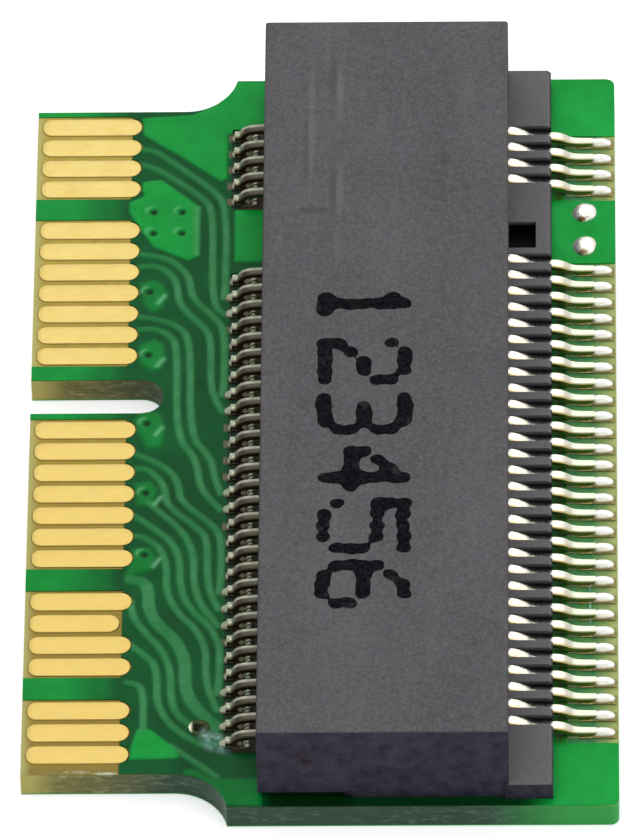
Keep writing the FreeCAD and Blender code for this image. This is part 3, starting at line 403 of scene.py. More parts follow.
def plastic_finish():
    """Black moulded plastic: a painted grey sheen on top, mottled and with rub marks; dark on
    walls; painted shade in hollows.

    The lip in front has its own tones: a painted lighter grey on its rib tops, painted shade below
    them, and the core-out in it is painted nearly black as shade.
    """
    f = Finish("housing_plastic")
    grain = f.noise(13.0, 6.0, 0.72)
    blotch = f.noise(3.2, 5.0, 0.65)
    cloud = f.noise(0.5, 3.0, 0.6, f.stretch(1.0, 0.6, 1.0))
    streak = f.noise(2.2, 3.0, 0.6, f.stretch(2.4, 0.22, 1.0))
    # Painted sheen: the upper faces are lit grey; the mottling and the rub mark ovals below are the
    # plastic's own.
    sheen_and_rubs = f.blend(f.remap(cloud, 0.3, 0.7), (0.074, 0.072, 0.072), (0.103, 0.099, 0.099))
    sheen_and_rubs = f.blend(f.remap(blotch, 0.50, 0.70, 0.0, 0.8), sheen_and_rubs, (0.098, 0.086, 0.108))
    sheen_and_rubs = f.blend(f.remap(blotch, 0.48, 0.32, 0.0, 0.8), sheen_and_rubs, (0.088, 0.100, 0.086))
    sheen_and_rubs = f.blend(f.remap(grain, 0.48, 0.64, 0.0, 0.50), sheen_and_rubs, (0.160, 0.155, 0.150))
    sheen_and_rubs = f.blend(f.remap(grain, 0.48, 0.36, 0.0, 0.50), sheen_and_rubs, (0.048, 0.045, 0.050))
    sheen_and_rubs = f.blend(f.remap(streak, 0.58, 0.8, 0.0, 0.30), sheen_and_rubs, (0.16, 0.155, 0.15))
    # Painted light: the tops of the lip's ribs are a lighter grey.
    lit_rib_tops = f.blend(0.5, sheen_and_rubs, (0.168, 0.160, 0.160))
    for place, reach, share in DARK_RUBS:
        sheen_and_rubs = f.blend(f.sum("MULTIPLY", f.oval("XY", place, reach), share), sheen_and_rubs,
                         (0.046, 0.042, 0.048))
    for place, reach, share in PALE_RUBS:
        sheen_and_rubs = f.blend(f.sum("MULTIPLY", f.oval("XY", place, reach), share), sheen_and_rubs,
                         (0.19, 0.185, 0.18))
    wall = f.blend(f.remap(blotch, 0.35, 0.65), (0.016, 0.015, 0.026), (0.044, 0.042, 0.060))
    wall = f.blend(f.remap(f.noise(2.2, 4.0, 0.7), 0.52, 0.68, 0.0, 0.6), wall,
                   (0.042, 0.026, 0.046))
    # Painted shade: the slots of the lip are near black, and the core-out darker still.
    core_out = f.sum("MULTIPLY", f.remap(f.axis("Y"), 5.30, 5.36), f.remap(f.axis("Y"), 7.20, 7.14))
    shaded_hollow = f.blend(core_out, (0.016, 0.013, 0.018), (0.0012, 0.0010, 0.0014))
    gate = f.sum("MULTIPLY", f.oval("XZ", (-0.32, 2.06), (0.24, 0.26)),
                 f.remap(f.noise(5.0), 0.40, 0.56))
    wall = f.blend(f.sum("MULTIPLY", gate, 0.85), wall, (0.020, 0.004, 0.006))
    foot = f.sum("MULTIPLY", f.remap(f.axis("X"), 0.74, 0.70),
                 f.remap(f.axis("Z"), BOARD_TOP + 0.15, BOARD_TOP + 0.12))
    wall = f.blend(foot, wall, (0.001, 0.001, 0.002))
    height = f.axis("Z")
    upper = f.remap(height, house_high[2] - 0.05, house_high[2] - 0.015)
    main = f.blend(upper, wall, sheen_and_rubs)
    lip = f.blend(f.remap(height, LIP_TOP - 0.12, LIP_TOP - 0.05), shaded_hollow, lit_rib_tops)
    ends = f.remap(f.sum("ABSOLUTE", f.axis("Y"), 0.0), house_high[1] - 0.08, house_high[1] - 0.03)
    lip_wall = f.sum("MAXIMUM", ends, f.remap(f.axis("X"), 5.20, 5.235))
    lip = f.blend(f.sum("MULTIPLY", lip_wall, f.remap(height, LIP_TOP, LIP_TOP - 0.03)), lip, wall)
    above = f.remap(height, LIP_TOP + 0.02, LIP_TOP + 0.03)
    lip = f.blend(above, lip, main)
    tone = f.blend(f.remap(f.axis("X"), LIP_EDGE - 0.02, LIP_EDGE + 0.002), main, lip)
    bump = f.height(grain, 0.010, 0.8, f.height(blotch, 0.02, 0.3))
    return f.set(Base_Color=tone, Roughness=f.remap(grain, 0.3, 0.7, 0.52, 0.68), Normal=bump,
                 Specular_IOR_Level=0.12)


dress(plastic_finish(), "socket_housing")


# %% [markdown]
# ## Copper in the vias
# A via is a small hole lined with copper, which shows where the lacquer leaves it open.
# A metal's look is mostly what it mirrors, so two close tones and a soft roughness are
# enough.

# %% Via copper
def copper_finish():
    """Bare copper inside the vias."""
    f = Finish("copper")
    cloud = f.noise(2.4, 4.0, 0.6)
    tone = f.blend(f.remap(cloud, 0.35, 0.7), (0.60, 0.32, 0.16), (0.40, 0.20, 0.10))
    return f.set(Base_Color=tone, Metallic=1.0, Roughness=f.remap(cloud, 0.3, 0.7, 0.30, 0.45))


dress(copper_finish(), "via_barrels")


# %% [markdown]
# ## Tools for new pieces
# A new piece is worked out as arrays of points in millimetres and arrays of faces.  It could be
# modelled by hand, but worked out it stays tied to the CAD's boxes, and a row of thirty takes no
# longer than one.  One function writes the arrays into a mesh, gives it a finish, hangs it on the
# card and hides the CAD nodes it stands for.  Readings are numbers on the points that a finish may
# use, such as how near a point is to buried copper.

# %% Write a piece
def piece(name, points, faces, finish, slot, stands_for=(), readings=None, crease=40.0):
    """Mesh object from points in millimetres and a list of face arrays.

    Edges that turn by more than crease degrees stay sharp; all others are shaded smooth.
    """
    mesh = bpy.data.meshes.new(name)
    corners = np.asarray(points, float).reshape(-1, 3) * MM
    mesh.from_pydata(corners.tolist(), [], [face for group in faces for face in group.tolist()])
    for reading, values in (readings or {}).items():
        layer = mesh.attributes.new(reading, "FLOAT", "POINT")
        layer.data.foreach_set("value", np.asarray(values, np.float32).ravel())
    mesh.materials.append(finish)
    mesh.polygons.foreach_set("use_smooth", np.ones(len(mesh.polygons), bool))
    mesh.set_sharp_from_angle(angle=math.radians(crease))
    mesh.validate()
    thing = bpy.data.objects.new(name, mesh)
    bpy.context.scene.collection.objects.link(thing)
    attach(thing, "root")
    if stands_for:
        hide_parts(*stands_for)
    print("%-22s %6d points %6d faces" % (name, len(mesh.vertices), len(mesh.polygons)))
    return thing


def points_mm(node):
    """All points of a CAD node, in millimetres."""
    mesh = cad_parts[node].data
    flat = np.empty(len(mesh.vertices) * 3, np.float32)
    mesh.vertices.foreach_get("co", flat)
    return flat.reshape(-1, 3).astype(float) / MM


print("board core has", len(points_mm("board_core")), "points in the frame")


# %% Steps, copies and rings
def smooth_step(value):
    """0 below 0, 1 above 1, and between them 3 t squared less 2 t cubed."""
    t = np.clip(value, 0.0, 1.0)
    return t * t * (3.0 - 2.0 * t)


def copies(points, faces, lines):
    """The same shape on every line along Y; face numbers step on by the number of points."""
    moves = np.stack([np.zeros(len(lines)), lines, np.zeros(len(lines))], -1)[:, None]
    steps = np.arange(len(lines)) * len(points)
    spread = (points[None] + moves).reshape(-1, 3)
    return spread, [(group[None] + steps[:, None, None]).reshape(-1, group.shape[1])
                    for group in faces]


def merged(shapes):
    """Several shapes as one: points end to end, face numbers stepped on to match."""
    steps = np.cumsum([0] + [len(points) for points, _ in shapes])
    kinds = range(len(shapes[0][1]))
    return np.concatenate([points for points, _ in shapes]), [
        np.concatenate([faces[kind] + step for (_, faces), step in zip(shapes, steps)])
        for kind in kinds]


def ring_bands(rings, around, first=0):
    """Quads between closed rings of equal length, one ring after another."""
    ring, step = np.meshgrid(np.arange(rings - 1), np.arange(around), indexing="ij")
    here = first + ring * around + step
    there = first + ring * around + (step + 1) % around
    return np.stack([here, there, there + around, here + around], -1).reshape(-1, 4)


print("smooth step at a quarter:", smooth_step(0.25))


# %% [markdown]
# ## Sheets cut from a grid
# A sheet with curved edges is cut from a square grid.  A Boolean modifier would cut it
# more sharply, but it leaves long thin triangles that shade badly.  Here a distance
# function says how far each point lies outside the wanted outline.  Points near the
# outline slide onto it, cells beyond it are dropped, and the edge gets a wall down to the
# underside.  The grid stays even, so a soft relief can be laid on it.

# %% Slide to the edge, then cut
def slide_to_edge(x, y, outside, reach):
    """Move points nearer than reach to the line outside = 0 onto that line.

    The move is against the slope: the distance times the unit slope, which is taken
    from two neighbouring readings of the distance.
    """
    near = 0.001
    for _ in range(2):
        gap = outside(x, y)
        slope_x = (outside(x + near, y) - outside(x - near, y)) / (2 * near)
        slope_y = (outside(x, y + near) - outside(x, y - near)) / (2 * near)
        steep = np.maximum(np.hypot(slope_x, slope_y), 0.5)
        move = np.where(np.abs(gap) < reach, gap, 0.0) / steep ** 2
        x, y = x - move * slope_x, y - move * slope_y
    return x, y


def cut_sheet(xs, ys, outside, top, under):
    """Closed sheet over the cells whose corners all lie inside.

    outside(x, y) is the distance beyond the outline, top(x, y) the upper height and
    under one lower height.  Returns points, faces, and the x and y of every point.
    """
    x, y = np.meshgrid(xs, ys, indexing="ij")
    shape = x.shape
    reach = 0.78 * max(xs[1] - xs[0], ys[1] - ys[0])
    x, y = slide_to_edge(x.ravel(), y.ravel(), outside, reach)
    inside = (outside(x, y) < 0.004).reshape(shape)
    number = np.arange(x.size).reshape(shape)
    whole = inside[:-1, :-1] & inside[1:, :-1] & inside[1:, 1:] & inside[:-1, 1:]
    cells = np.stack([number[:-1, :-1], number[1:, :-1], number[1:, 1:], number[:-1, 1:]], -1)
    cells = cells[whole]
    edges = np.concatenate([cells[:, [i, (i + 1) % 4]] for i in range(4)])
    codes = edges[:, 0] * x.size + edges[:, 1]
    rim = edges[~np.isin(edges[:, 1] * x.size + edges[:, 0], codes)]
    used, again = np.unique(cells, return_inverse=True)
    again = again.reshape(cells.shape)
    place = np.full(x.size, -1)
    place[used] = np.arange(len(used))
    rim = place[rim]
    x, y = x[used], y[used]
    count = len(used)
    upper = np.stack([x, y, top(x, y)], -1)
    lower = np.stack([x, y, np.full(count, under)], -1)
    walls = np.stack([rim[:, 1], rim[:, 0], rim[:, 0] + count, rim[:, 1] + count], -1)
    points = np.concatenate([upper, lower])
    return points, [again, again[:, ::-1] + count, walls], np.tile(x, 2), np.tile(y, 2)


print("sheet cutter ready")


# %% [markdown]
# ## Distances
# Distances are built from a few plain shapes.  Below zero is inside.  The lesser of two
# distances joins two shapes, the greater keeps what they share, and a minus sign turns a
# shape into a hole.

# %% Distance functions
def from_box(x, y, x0, x1, y0, y1):
    """Distance outside a rectangle, negative inside it."""
    far_x = np.maximum(x0 - x, x - x1)
    far_y = np.maximum(y0 - y, y - y1)
    return np.hypot(np.maximum(far_x, 0), np.maximum(far_y, 0)) + np.minimum(
        np.maximum(far_x, far_y), 0)


def from_disc(x, y, centre_x, centre_y, radius):
    """Distance outside a circle."""
    return np.hypot(x - centre_x, y - centre_y) - radius


def from_line(x, y, line, want_upright=False):
    """Distance to a broken line: for each run, to its nearest point, and the least of all.

    Also, when wanted, how far the nearest run lies along Y, from 0 to 1.
    """
    line = np.asarray(line, float)
    start, run = line[:-1], np.diff(line, axis=0)
    px, py = x[:, None] - start[:, 0], y[:, None] - start[:, 1]
    share = np.clip((px * run[:, 0] + py * run[:, 1]) / (run ** 2).sum(1), 0, 1)
    gap = np.hypot(px - share * run[:, 0], py - share * run[:, 1])
    if not want_upright:
        return gap.min(1)
    upright = np.abs(run[:, 1]) / np.hypot(run[:, 0], run[:, 1])
    return gap.min(1), upright[gap.argmin(1)]


def from_patch(x, y, corners):
    """Distance outside a closed patch: to its outline, negative where a ray to the right
    crosses the outline an odd number of times."""
    loop = np.asarray(corners + corners[:1], float)
    a, b = loop[:-1], loop[1:]
    spans = (a[:, 1] > y[:, None]) != (b[:, 1] > y[:, None])
    rise = np.where(b[:, 1] == a[:, 1], 1e-9, b[:, 1] - a[:, 1])
    meet = a[:, 0] + (y[:, None] - a[:, 1]) * (b[:, 0] - a[:, 0]) / rise
    inside = (spans & (x[:, None] < meet)).sum(1) % 2 == 1
    return np.where(inside, -1.0, 1.0) * from_line(x, y, loop)


def rounded(line, times=2):
    """Cut every corner of a broken line at a quarter and three quarters of each run."""
    line = np.asarray(line, float)
    for _ in range(times):
        near = line[:-1] * 0.75 + line[1:] * 0.25
        far = line[:-1] * 0.25 + line[1:] * 0.75
        middle = np.stack([near, far], 1).reshape(-1, line.shape[1])
        line = np.concatenate([line[:1], middle[1:-1], line[-1:]])
    return line


print("distance of (3, 4) from a unit disc:", from_disc(3.0, 4.0, 0.0, 0.0, 1.0))


# %% [markdown]
# ## Where things repeat
# Fingers stand 0.65 mm apart and contacts 0.50 mm apart in each row.  The boxes of the
# finger groups and of the contact rows give the first and the last of each, and so the
# centre lines of all of them.

# %% Centre lines of fingers and contacts
FINGER_PITCH = 0.65
ROW_PITCH = 0.50


def centre_lines(node, pitch, wide):
    """Middle of each repeated piece along Y, from the box of the whole row."""
    low, high = box_mm(node)
    count = int(round((high[1] - low[1] - wide) / pitch)) + 1
    return low[1] + wide / 2 + pitch * np.arange(count)


finger_groups = {n: box_mm(n) for n in sorted(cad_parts) if n.startswith("fingers_top")}
finger_wide = 0.54
contact_wide = 0.22
finger_lines = {n: centre_lines(n, FINGER_PITCH, finger_wide) for n in finger_groups}
finger_tip = max(high[0] for low, high in finger_groups.values())
top_line = max(lines.max() for lines in finger_lines.values())
tail_lines = np.concatenate([centre_lines("upper_contacts_" + part, ROW_PITCH, contact_wide)
                             for part in ("main", "key")])
front_lines = np.concatenate([centre_lines("lower_contacts_" + part, ROW_PITCH, contact_wide)
                              for part in ("main", "key")])
finger_ends = np.array([
    (corners[np.abs(corners[:, 1] - line) < finger_wide / 2, 0].max(), line)
    for corners, lines in ((points_mm(n), finger_lines[n]) for n in finger_lines)
    for line in lines])
print("fingers per group", {n[-1]: len(v) for n, v in finger_lines.items()})
print("rear contacts", len(tail_lines), "front contacts", len(front_lines))


def f_y(place):
    """Centre line of a numbered finger place; the notch takes two and a half pitches."""
    return top_line - FINGER_PITCH * (place if place < 12 else place + 2.5)


def c_y(number):
    """Centre line of a numbered contact; the two rows share one numbering."""
    return tail_lines[0] + ROW_PITCH * (number - 1) / 2


# %% [markdown]
# ## Lacquer with the copper showing through
# Lacquer is poured over etched copper, so every trace is a soft ridge, and the colour
# changes with what lies beneath: pale green over a trace, bright green over a broad
# plane, dark green over bare glass.  A bump map could fake the ridges, but they catch
# light along their sides and belong in the shape.  The routes leave the fingers, turn
# into lanes beside the socket and end on its pads.  They are listed by their corner
# points and then rounded, as a board designer would draw them.

# %% Routes and copper planes
LANE, LANE_STEP = -2.285, 0.31
TRACE_WIDE = 0.15
pad_edge = box_mm("rear_pads")[0][0]
lane = [LANE - LANE_STEP * i for i in range(6)]
start = finger_tip - 0.06

signal_routes = [
    [(start, f_y(1) - 0.08), (-4.02, f_y(1) - 0.10), (-3.70, 8.62), (-2.60, 7.62), (lane[0], 7.10),
     (lane[0], 4.55), (pad_edge, c_y(55))],
    [(start, f_y(2) + 0.10), (-4.05, 8.36), (-3.62, 8.06), (-2.84, 7.38), (lane[1], 6.95),
     (lane[1], 4.45), (-2.48, 3.92), (pad_edge, c_y(53))],
    [(start, f_y(6) - 0.11), (-3.90, 5.56), (-3.50, 5.40), (-3.12, 4.92), (-3.06, 4.22),
     (-2.50, 3.62), (lane[0], 3.22), (lane[0], 1.60), (pad_edge, c_y(43))],
    [(start, f_y(7) + 0.12), (-3.96, 5.28), (-3.60, 5.06), (-3.40, 4.70), (-3.36, 4.02),
     (-2.82, 3.40), (lane[1], 3.02), (lane[1], 1.55), (-2.48, 1.10), (pad_edge, c_y(41))],
    [(start, f_y(9) - 0.11), (-3.92, 3.62), (-3.40, 3.42), (-3.06, 2.95), (-3.06, 0.00),
     (-2.56, -0.66), (-2.48, -1.20), (pad_edge, c_y(31))],
    [(start, f_y(10) + 0.12), (-3.96, 3.32), (-3.60, 3.14), (-3.37, 2.80), (-3.37, -0.02),
     (-2.88, -0.72), (-2.80, -1.62), (pad_edge, c_y(29))],
    [(start, f_y(13) - 0.10), (-3.96, -0.70), (-3.44, -1.10), (-3.28, -1.50), (-3.24, -2.00),
     (-2.48, -2.72), (lane[0], -3.10), (lane[0], -4.35), (pad_edge, c_y(19))],
    [(start, f_y(14) + 0.10), (-4.00, -1.00), (-3.70, -1.36), (-3.59, -1.66), (-3.55, -2.12),
     (-2.82, -2.82), (lane[1], -3.16), (lane[1], -4.58), (pad_edge, c_y(17))],
    [(start, f_y(16)), (-3.98, -2.66), (lane[3], -3.42), (lane[3], -4.98), (lane[0], -6.02),
     (lane[0], -7.32), (pad_edge, c_y(7))],
    [(start, f_y(17)), (-4.05, -3.05), (lane[4], -3.58), (lane[4], -5.06), (lane[1], -6.10),
     (lane[1], -7.48), (pad_edge, c_y(5))],
    [(start, f_y(20)), (-4.24, -5.62), (-3.38, -6.72), (-3.38, -8.24), (-2.86, -8.76)],
    [(start, f_y(22)), (-4.02, -6.58), (-3.69, -6.94), (-3.69, -8.36), (-2.72, -9.34),
     (pad_edge, c_y(1))],
]
# Ground runs: corner points, and the width as a share of a trace's.
ground_routes = [
    ([(-3.98, -2.02), (lane[2], -3.18), (lane[2], -4.86), (pad_edge, c_y(15))], 1.0),
    ([(-4.35, -4.34), (-3.92, -4.46), (-3.92, -5.48), (-3.06, -6.42), (-3.06, -7.92),
      (pad_edge, c_y(3))], 1.8),
    ([(-4.38, -7.42), (-3.99, -7.52), (-3.99, -8.90)], 1.0),
    ([(-3.35, -9.32), (-2.30, -10.22)], 1.0),
]
# Broad copper planes, each a closed patch; five small islands come third to seventh.
planes = [
    [(-4.24, 9.86), (-4.20, 9.40), (-3.80, 9.08), (-3.38, 8.76), (-2.42, 7.96), (-2.34, 8.02),
     (-2.34, 9.44), (-1.10, 9.44), (-1.10, 11.00), (-2.20, 11.00), (-2.50, 10.30), (-3.10, 9.95)],
    [(-4.20, 7.84), (-3.84, 7.90), (-2.96, 7.06), (-2.96, 5.60), (-3.16, 5.48), (-3.94, 5.90),
     (-4.26, 6.50), (-4.50, 6.96), (-4.50, 7.22), (-4.16, 7.40)],
    [(-4.20, 4.66), (-3.98, 4.74), (-3.78, 4.64), (-3.68, 4.34), (-3.78, 4.00), (-3.94, 3.88),
     (-4.10, 4.04)],
    [(-4.20, 2.74), (-3.92, 2.90), (-3.78, 2.80), (-3.70, 2.50), (-3.78, 2.12), (-3.94, 2.06),
     (-4.14, 2.24)],
    [(-4.26, 0.50), (-4.08, 0.68), (-3.82, 0.66), (-3.72, 0.40), (-3.70, -0.08), (-3.78, -0.30),
     (-4.00, -0.30), (-4.14, 0.00)],
    [(-4.24, -1.50), (-3.98, -1.44), (-3.82, -1.64), (-3.90, -2.00), (-4.18, -2.04)],
    [(-4.28, -3.48), (-3.96, -3.46), (-3.84, -3.68), (-3.94, -4.02), (-4.40, -4.20),
     (-4.30, -3.90)],
    [(-4.20, -9.34), (-4.08, -8.86), (-3.86, -8.86), (-3.30, -9.40), (-3.22, -9.62),
     (-4.22, -9.64)],
    [(-2.96, -10.04), (-2.78, -10.06), (-2.40, -10.34), (-1.10, -10.30), (-1.10, -11.00),
     (-2.40, -11.00), (-2.78, -10.50), (-3.02, -10.14)],
]
small_planes = planes[2:7]
planes = planes[:2] + planes[7:] + [
    [(-2.04, 5.42), (-1.20, 5.42), (-1.20, 7.50), (-2.04, 7.50)]]
signal_lines = [rounded(route) for route in signal_routes]
ground_lines = [(rounded(route), share) for route, share in ground_routes]
print(len(signal_lines), "signal routes,", len(planes) + len(small_planes), "planes")


# %% [markdown]
# ## Outline, windows and small vias
# The board's outline is a rectangle less two shoulders beside the tongue and the key
# notch.  The lacquer also leaves windows over the fingers and over the rows of solder
# pads, and it sinks into every small via as a dimple.

# %% Windows and small vias
board_x0, board_x1 = board_low[0], board_high[0]
board_half = board_high[1]
tongue_half = top_line + 0.4725
shoulder_x, shoulder_round = board_x0 + 3.45, 1.22
notch_y, notch_half, notch_end = 1.225, 0.515, board_x0 + 3.05
corner_round = 0.20
WINDOW_LAP, GANG_LAP, PAD_HALF = 0.06, 0.12, 0.15
FINGER_END_GAP, RING_WINDOW, PLANE_LAP = 0.012, 0.17, 0.05
FIELD_X, FIELD_Y, FIELD_STEP = -3.995, 6.93, 0.66
FINGER_VIA_X = -4.055

via_field = [(FIELD_X + FIELD_STEP * i, FIELD_Y - FIELD_STEP * j)
             for j in range(2) for i in range(2)]
finger_vias = [(FINGER_VIA_X, line) for line in (
    f_y(8), f_y(11), f_y(12) + 0.165, f_y(15), f_y(18) + 0.0825)]
tin_low, tin_high = box_mm("tinned_vias")
RING_ROUND = 0.24
ring_via = (tin_low[0] + RING_ROUND, tin_low[1] + RING_ROUND)
EYE_ROUND, EYE_DEEP = 0.15, 0.04

# A window ends a little short of the fingers' round ends; the last one also runs off the
# near edge of the tongue.
windows = []
for low, high in finger_groups.values():
    lowest = low[1] - WINDOW_LAP if low[1] > -tongue_half + 0.6 else -tongue_half - 1.0
    windows.append((board_x0 - 1.0, high[0] - 0.23, lowest, high[1] + WINDOW_LAP))
for lines, x0, x1 in ((np.sort(tail_lines), pad_edge + 0.14, house_low[0] + 0.06),
                      (np.sort(front_lines), box_mm("front_pads")[0][0], board_x1 + 1.0)):
    split = int(np.argmax(np.diff(lines))) + 1
    for group in (lines[:split], lines[split:]):
        windows.append((x0, x1, group[0] - PAD_HALF - GANG_LAP, group[-1] + PAD_HALF + GANG_LAP))
print(len(windows), "windows,", len(via_field) + len(finger_vias), "small vias")


# %% Distances outside the board, the lacquer and the copper
def outside_board(x, y):
    """Distance outside the board: the rectangle, less shoulders, notch and corners."""
    edge = from_box(x, y, board_x0, board_x1 - corner_round, -board_half, board_half)
    edge = np.minimum(edge, from_box(x, y, board_x0 + 2, board_x1 - corner_round,
                                     -board_half + corner_round, board_half - corner_round)
                      - corner_round)
    beside = np.abs(y)
    taken = np.minimum(
        from_box(x, beside, board_x0 - 5, shoulder_x, tongue_half, board_half + 5),
        from_disc(x, beside, shoulder_x, tongue_half + shoulder_round, shoulder_round))
    notch = np.minimum(
        from_box(x, y, board_x0 - 5, notch_end - notch_half,
                 notch_y - notch_half, notch_y + notch_half),
        from_disc(x, y, notch_end - notch_half, notch_y, notch_half))
    return np.maximum(edge, -np.minimum(taken, notch))


def outside_lacquer(x, y):
    """Distance outside the lacquer: outside the board, or inside a window or a via."""
    gap = outside_board(x, y)
    for window in windows:
        gap = np.maximum(gap, -from_box(x, y, *window))
    round_end = np.min([np.hypot(np.maximum(x - end + finger_wide / 2, 0), y - line)
                        for end, line in finger_ends], axis=0)
    gap = np.maximum(gap, finger_wide / 2 + FINGER_END_GAP - round_end)
    return np.maximum(gap, RING_WINDOW - np.hypot(x - ring_via[0], y - ring_via[1]))


def buried(x, y):
    """Distances outside the nearest trace, plane and small plane, below zero over it.

    Also how far the nearest trace lies along Y, from 0 to 1.
    """
    wide = ([TRACE_WIDE / 2] * len(signal_lines)
            + [TRACE_WIDE * share / 2 for _, share in ground_lines])
    routes = signal_lines + [line for line, _ in ground_lines]
    found = [from_line(x, y, line, True) for line in routes]
    gaps = np.array([gap - half for (gap, _), half in zip(found, wide)])
    uprights = np.array([upright for _, upright in found])
    upright = np.take_along_axis(uprights, gaps.argmin(0)[None], 0)[0]
    plane, small = (np.min([from_patch(x, y, patch) for patch in patches], axis=0) - PLANE_LAP
                    for patches in (planes, small_planes))
    return gaps.min(0), plane, small, upright


middle = np.zeros(1)
print("distance outside the board at its middle", outside_board(middle, middle).round(3))


# %% [markdown]
# ## Two lacquer sheets
# The relief is worked out on a fine grid beside the fingers and on a coarse one under
# and beyond the socket, where the lacquer is flat.  One fine grid for the whole board
# would be simpler, but it would spend most of its faces on flat ground.  A soft step
# shapes each ridge, and the same steps are kept as readings, so the colour changes
# exactly where the height does.

# %% Lacquer that pales over copper
RELIEF_GRID, FIELD_GRID = 0.042, 0.10
SHOULDER = 0.07
sheet_top = lacquer_high[2] - 0.02
relief_end = house_low[0] + 0.10


def lacquer_finish():
    """Green lacquer that pales over copper, as its readings say.

    trace and plane are what lies beneath, with a painted highlight added to traces that run along
    Y; rim is a painted highlight on the lit edge of a plane, eye_and_shadow a via's dark middle and
    the painted shadow of the socket along the near edge, glint a painted highlight beside a via,
    and shade_beside_pads the painted brown shade beside the front pads.
    """
    f = Finish("lacquer")
    cloud = f.noise(0.8, 4.0, 0.6)
    patch = f.noise(2.6, 4.0, 0.6)
    fine = f.noise(11.0, 3.0, 0.6)
    bare = f.blend(f.remap(cloud, 0.3, 0.7), (0.0008, 0.062, 0.013), (0.0015, 0.104, 0.022))
    broad = f.blend(f.remap(cloud, 0.3, 0.7), (0.002, 0.26, 0.030), (0.006, 0.38, 0.056))
    broad = f.blend(f.remap(patch, 0.5, 0.75, 0.0, 0.5), broad, (0.022, 0.31, 0.065))
    thin = f.blend(f.remap(patch, 0.3, 0.7), (0.029, 0.205, 0.062), (0.058, 0.275, 0.098))
    rim = f.blend(f.remap(patch, 0.3, 0.7), (0.050, 0.28, 0.090), (0.10, 0.38, 0.15))
    tone = f.blend(f.reading("plane"), bare, broad)
    tone = f.blend(f.reading("trace"), tone, thin)
    tone = f.blend(f.sum("MULTIPLY", f.reading("rim"), 0.75), tone, rim)
    tone = f.blend(f.reading("eye_and_shadow"), tone, (0.001, 0.022, 0.004))
    tone = f.blend(f.reading("glint"), tone, (0.20, 0.62, 0.30))
    tone = f.blend(f.reading("shade_beside_pads"), tone, (0.050, 0.036, 0.004))
    bump = f.height(fine, 0.004, 0.6)
    return f.set(Base_Color=tone, Roughness=f.remap(fine, 0.3, 0.7, 0.20, 0.34), Normal=bump,
                 Specular_IOR_Level=0.06)


lacquer = lacquer_finish()
print("sheet lies at", round(sheet_top, 3), "mm and its ridges at", round(lacquer_high[2], 3))


# %% Height of the relief
def from_eyes(x, y, shift_x=0.0, shift_y=0.0):
    """Distance to the nearest small via, measured from a shifted centre."""
    return np.min([np.hypot(x - ex - shift_x, y - ey - shift_y)
                   for ex, ey in via_field + finger_vias], axis=0)


def relief_top(x, y):
    """Sheet height, plus a soft ridge over buried copper, less a dimple at each via."""
    ridge = smooth_step(0.5 - np.min(buried(x, y)[:3], axis=0) / SHOULDER)
    dimple = smooth_step(1.0 - from_eyes(x, y) / EYE_ROUND)
    return sheet_top + (lacquer_high[2] - sheet_top) * ridge - EYE_DEEP * dimple


def even_steps(first, last, step):
    """Evenly spaced values from first to last, about step apart."""
    return np.linspace(first, last, int(round((last - first) / step)) + 1)


def in_row(y):
    """One beside the front contacts, zero beyond the ends of their groups."""
    return sum(smooth_step((y - low) / 0.1 + 0.5) * smooth_step((high - y) / 0.1 + 0.5)
               for _, _, low, high in windows[-2:])


print("fine grid over", round(relief_end - board_x0, 2), "mm, coarse grid over the rest")


# %% The fine sheet beside the fingers
points, faces, x, y = cut_sheet(
    even_steps(board_x0, relief_end, RELIEF_GRID), even_steps(-board_half, board_half, RELIEF_GRID),
    outside_lacquer, relief_top, lacquer_low[2])
trace_gap, plane_gap, small_gap, upright = buried(x, y)
over_trace = smooth_step(0.5 - trace_gap / SHOULDER)
over_plane = smooth_step(0.5 - plane_gap / SHOULDER)
over_small = smooth_step(0.5 - small_gap / (3 * SHOULDER)) * (1 - over_plane)
beyond_edge = buried(x + 0.12, y)[1] > plane_gap + 0.10
right_rim = np.exp(-((plane_gap + 0.07) / 0.065) ** 2) * beyond_edge * (x < -2.7)
eye_and_shadow = smooth_step(1.25 - from_eyes(x, y, 0.02, 0.0) / 0.11)
crescent = np.exp(-((from_eyes(x, y) - 0.17) / 0.04) ** 2) * smooth_step(
    1.5 - from_eyes(x, y, -0.11, 0.09) / 0.12)
slivers = np.min([from_line(x, y, [(ex + 0.22, ey - 0.34), (ex + 0.36, ey - 0.12)])
                  for ex, ey in finger_vias], axis=0)
beside_fingers = smooth_step((-4.5 - x) / 0.5) * (0.35 + 0.45 * smooth_step((-5.0 - x) / 1.0))
near_corner = smooth_step((x + 3.9) / 0.4) * smooth_step((-9.68 - y) / 0.15)
over_plane = np.clip(over_plane, beside_fingers, 1) * (1 - 0.65 * near_corner)
# Traces that run along Y get a painted highlight on their lit flank, so their pale tone is
# stronger; rim and glint are painted highlights too.
piece("lacquer_relief", points, faces, lacquer, "green_lacquer",
      ("solder_mask_top", "signal_traces_top", "ground_pours_top"),
      {"trace": over_trace * (0.30 + 0.70 * upright ** 3) * (1 - 0.8 * over_plane),
       "plane": np.clip(over_plane + 0.55 * over_small + 0.30 * over_trace, 0, 1),
       "rim": right_rim * (trace_gap > 0.06), "eye_and_shadow": eye_and_shadow,
       "glint": np.clip(0.40 * crescent + 0.55 * np.exp(-(slivers / 0.055) ** 2), 0, 1)})

# %% The coarse sheet under and beyond the socket
points, faces, x, y = cut_sheet(
    even_steps(relief_end, board_x1, FIELD_GRID), even_steps(-board_half, board_half, FIELD_GRID),
    outside_lacquer, lambda x, y: np.full(x.shape, sheet_top), lacquer_low[2])
beyond = smooth_step((x - 4.0) / 0.3) + smooth_step((y - 9.6) / 0.2)
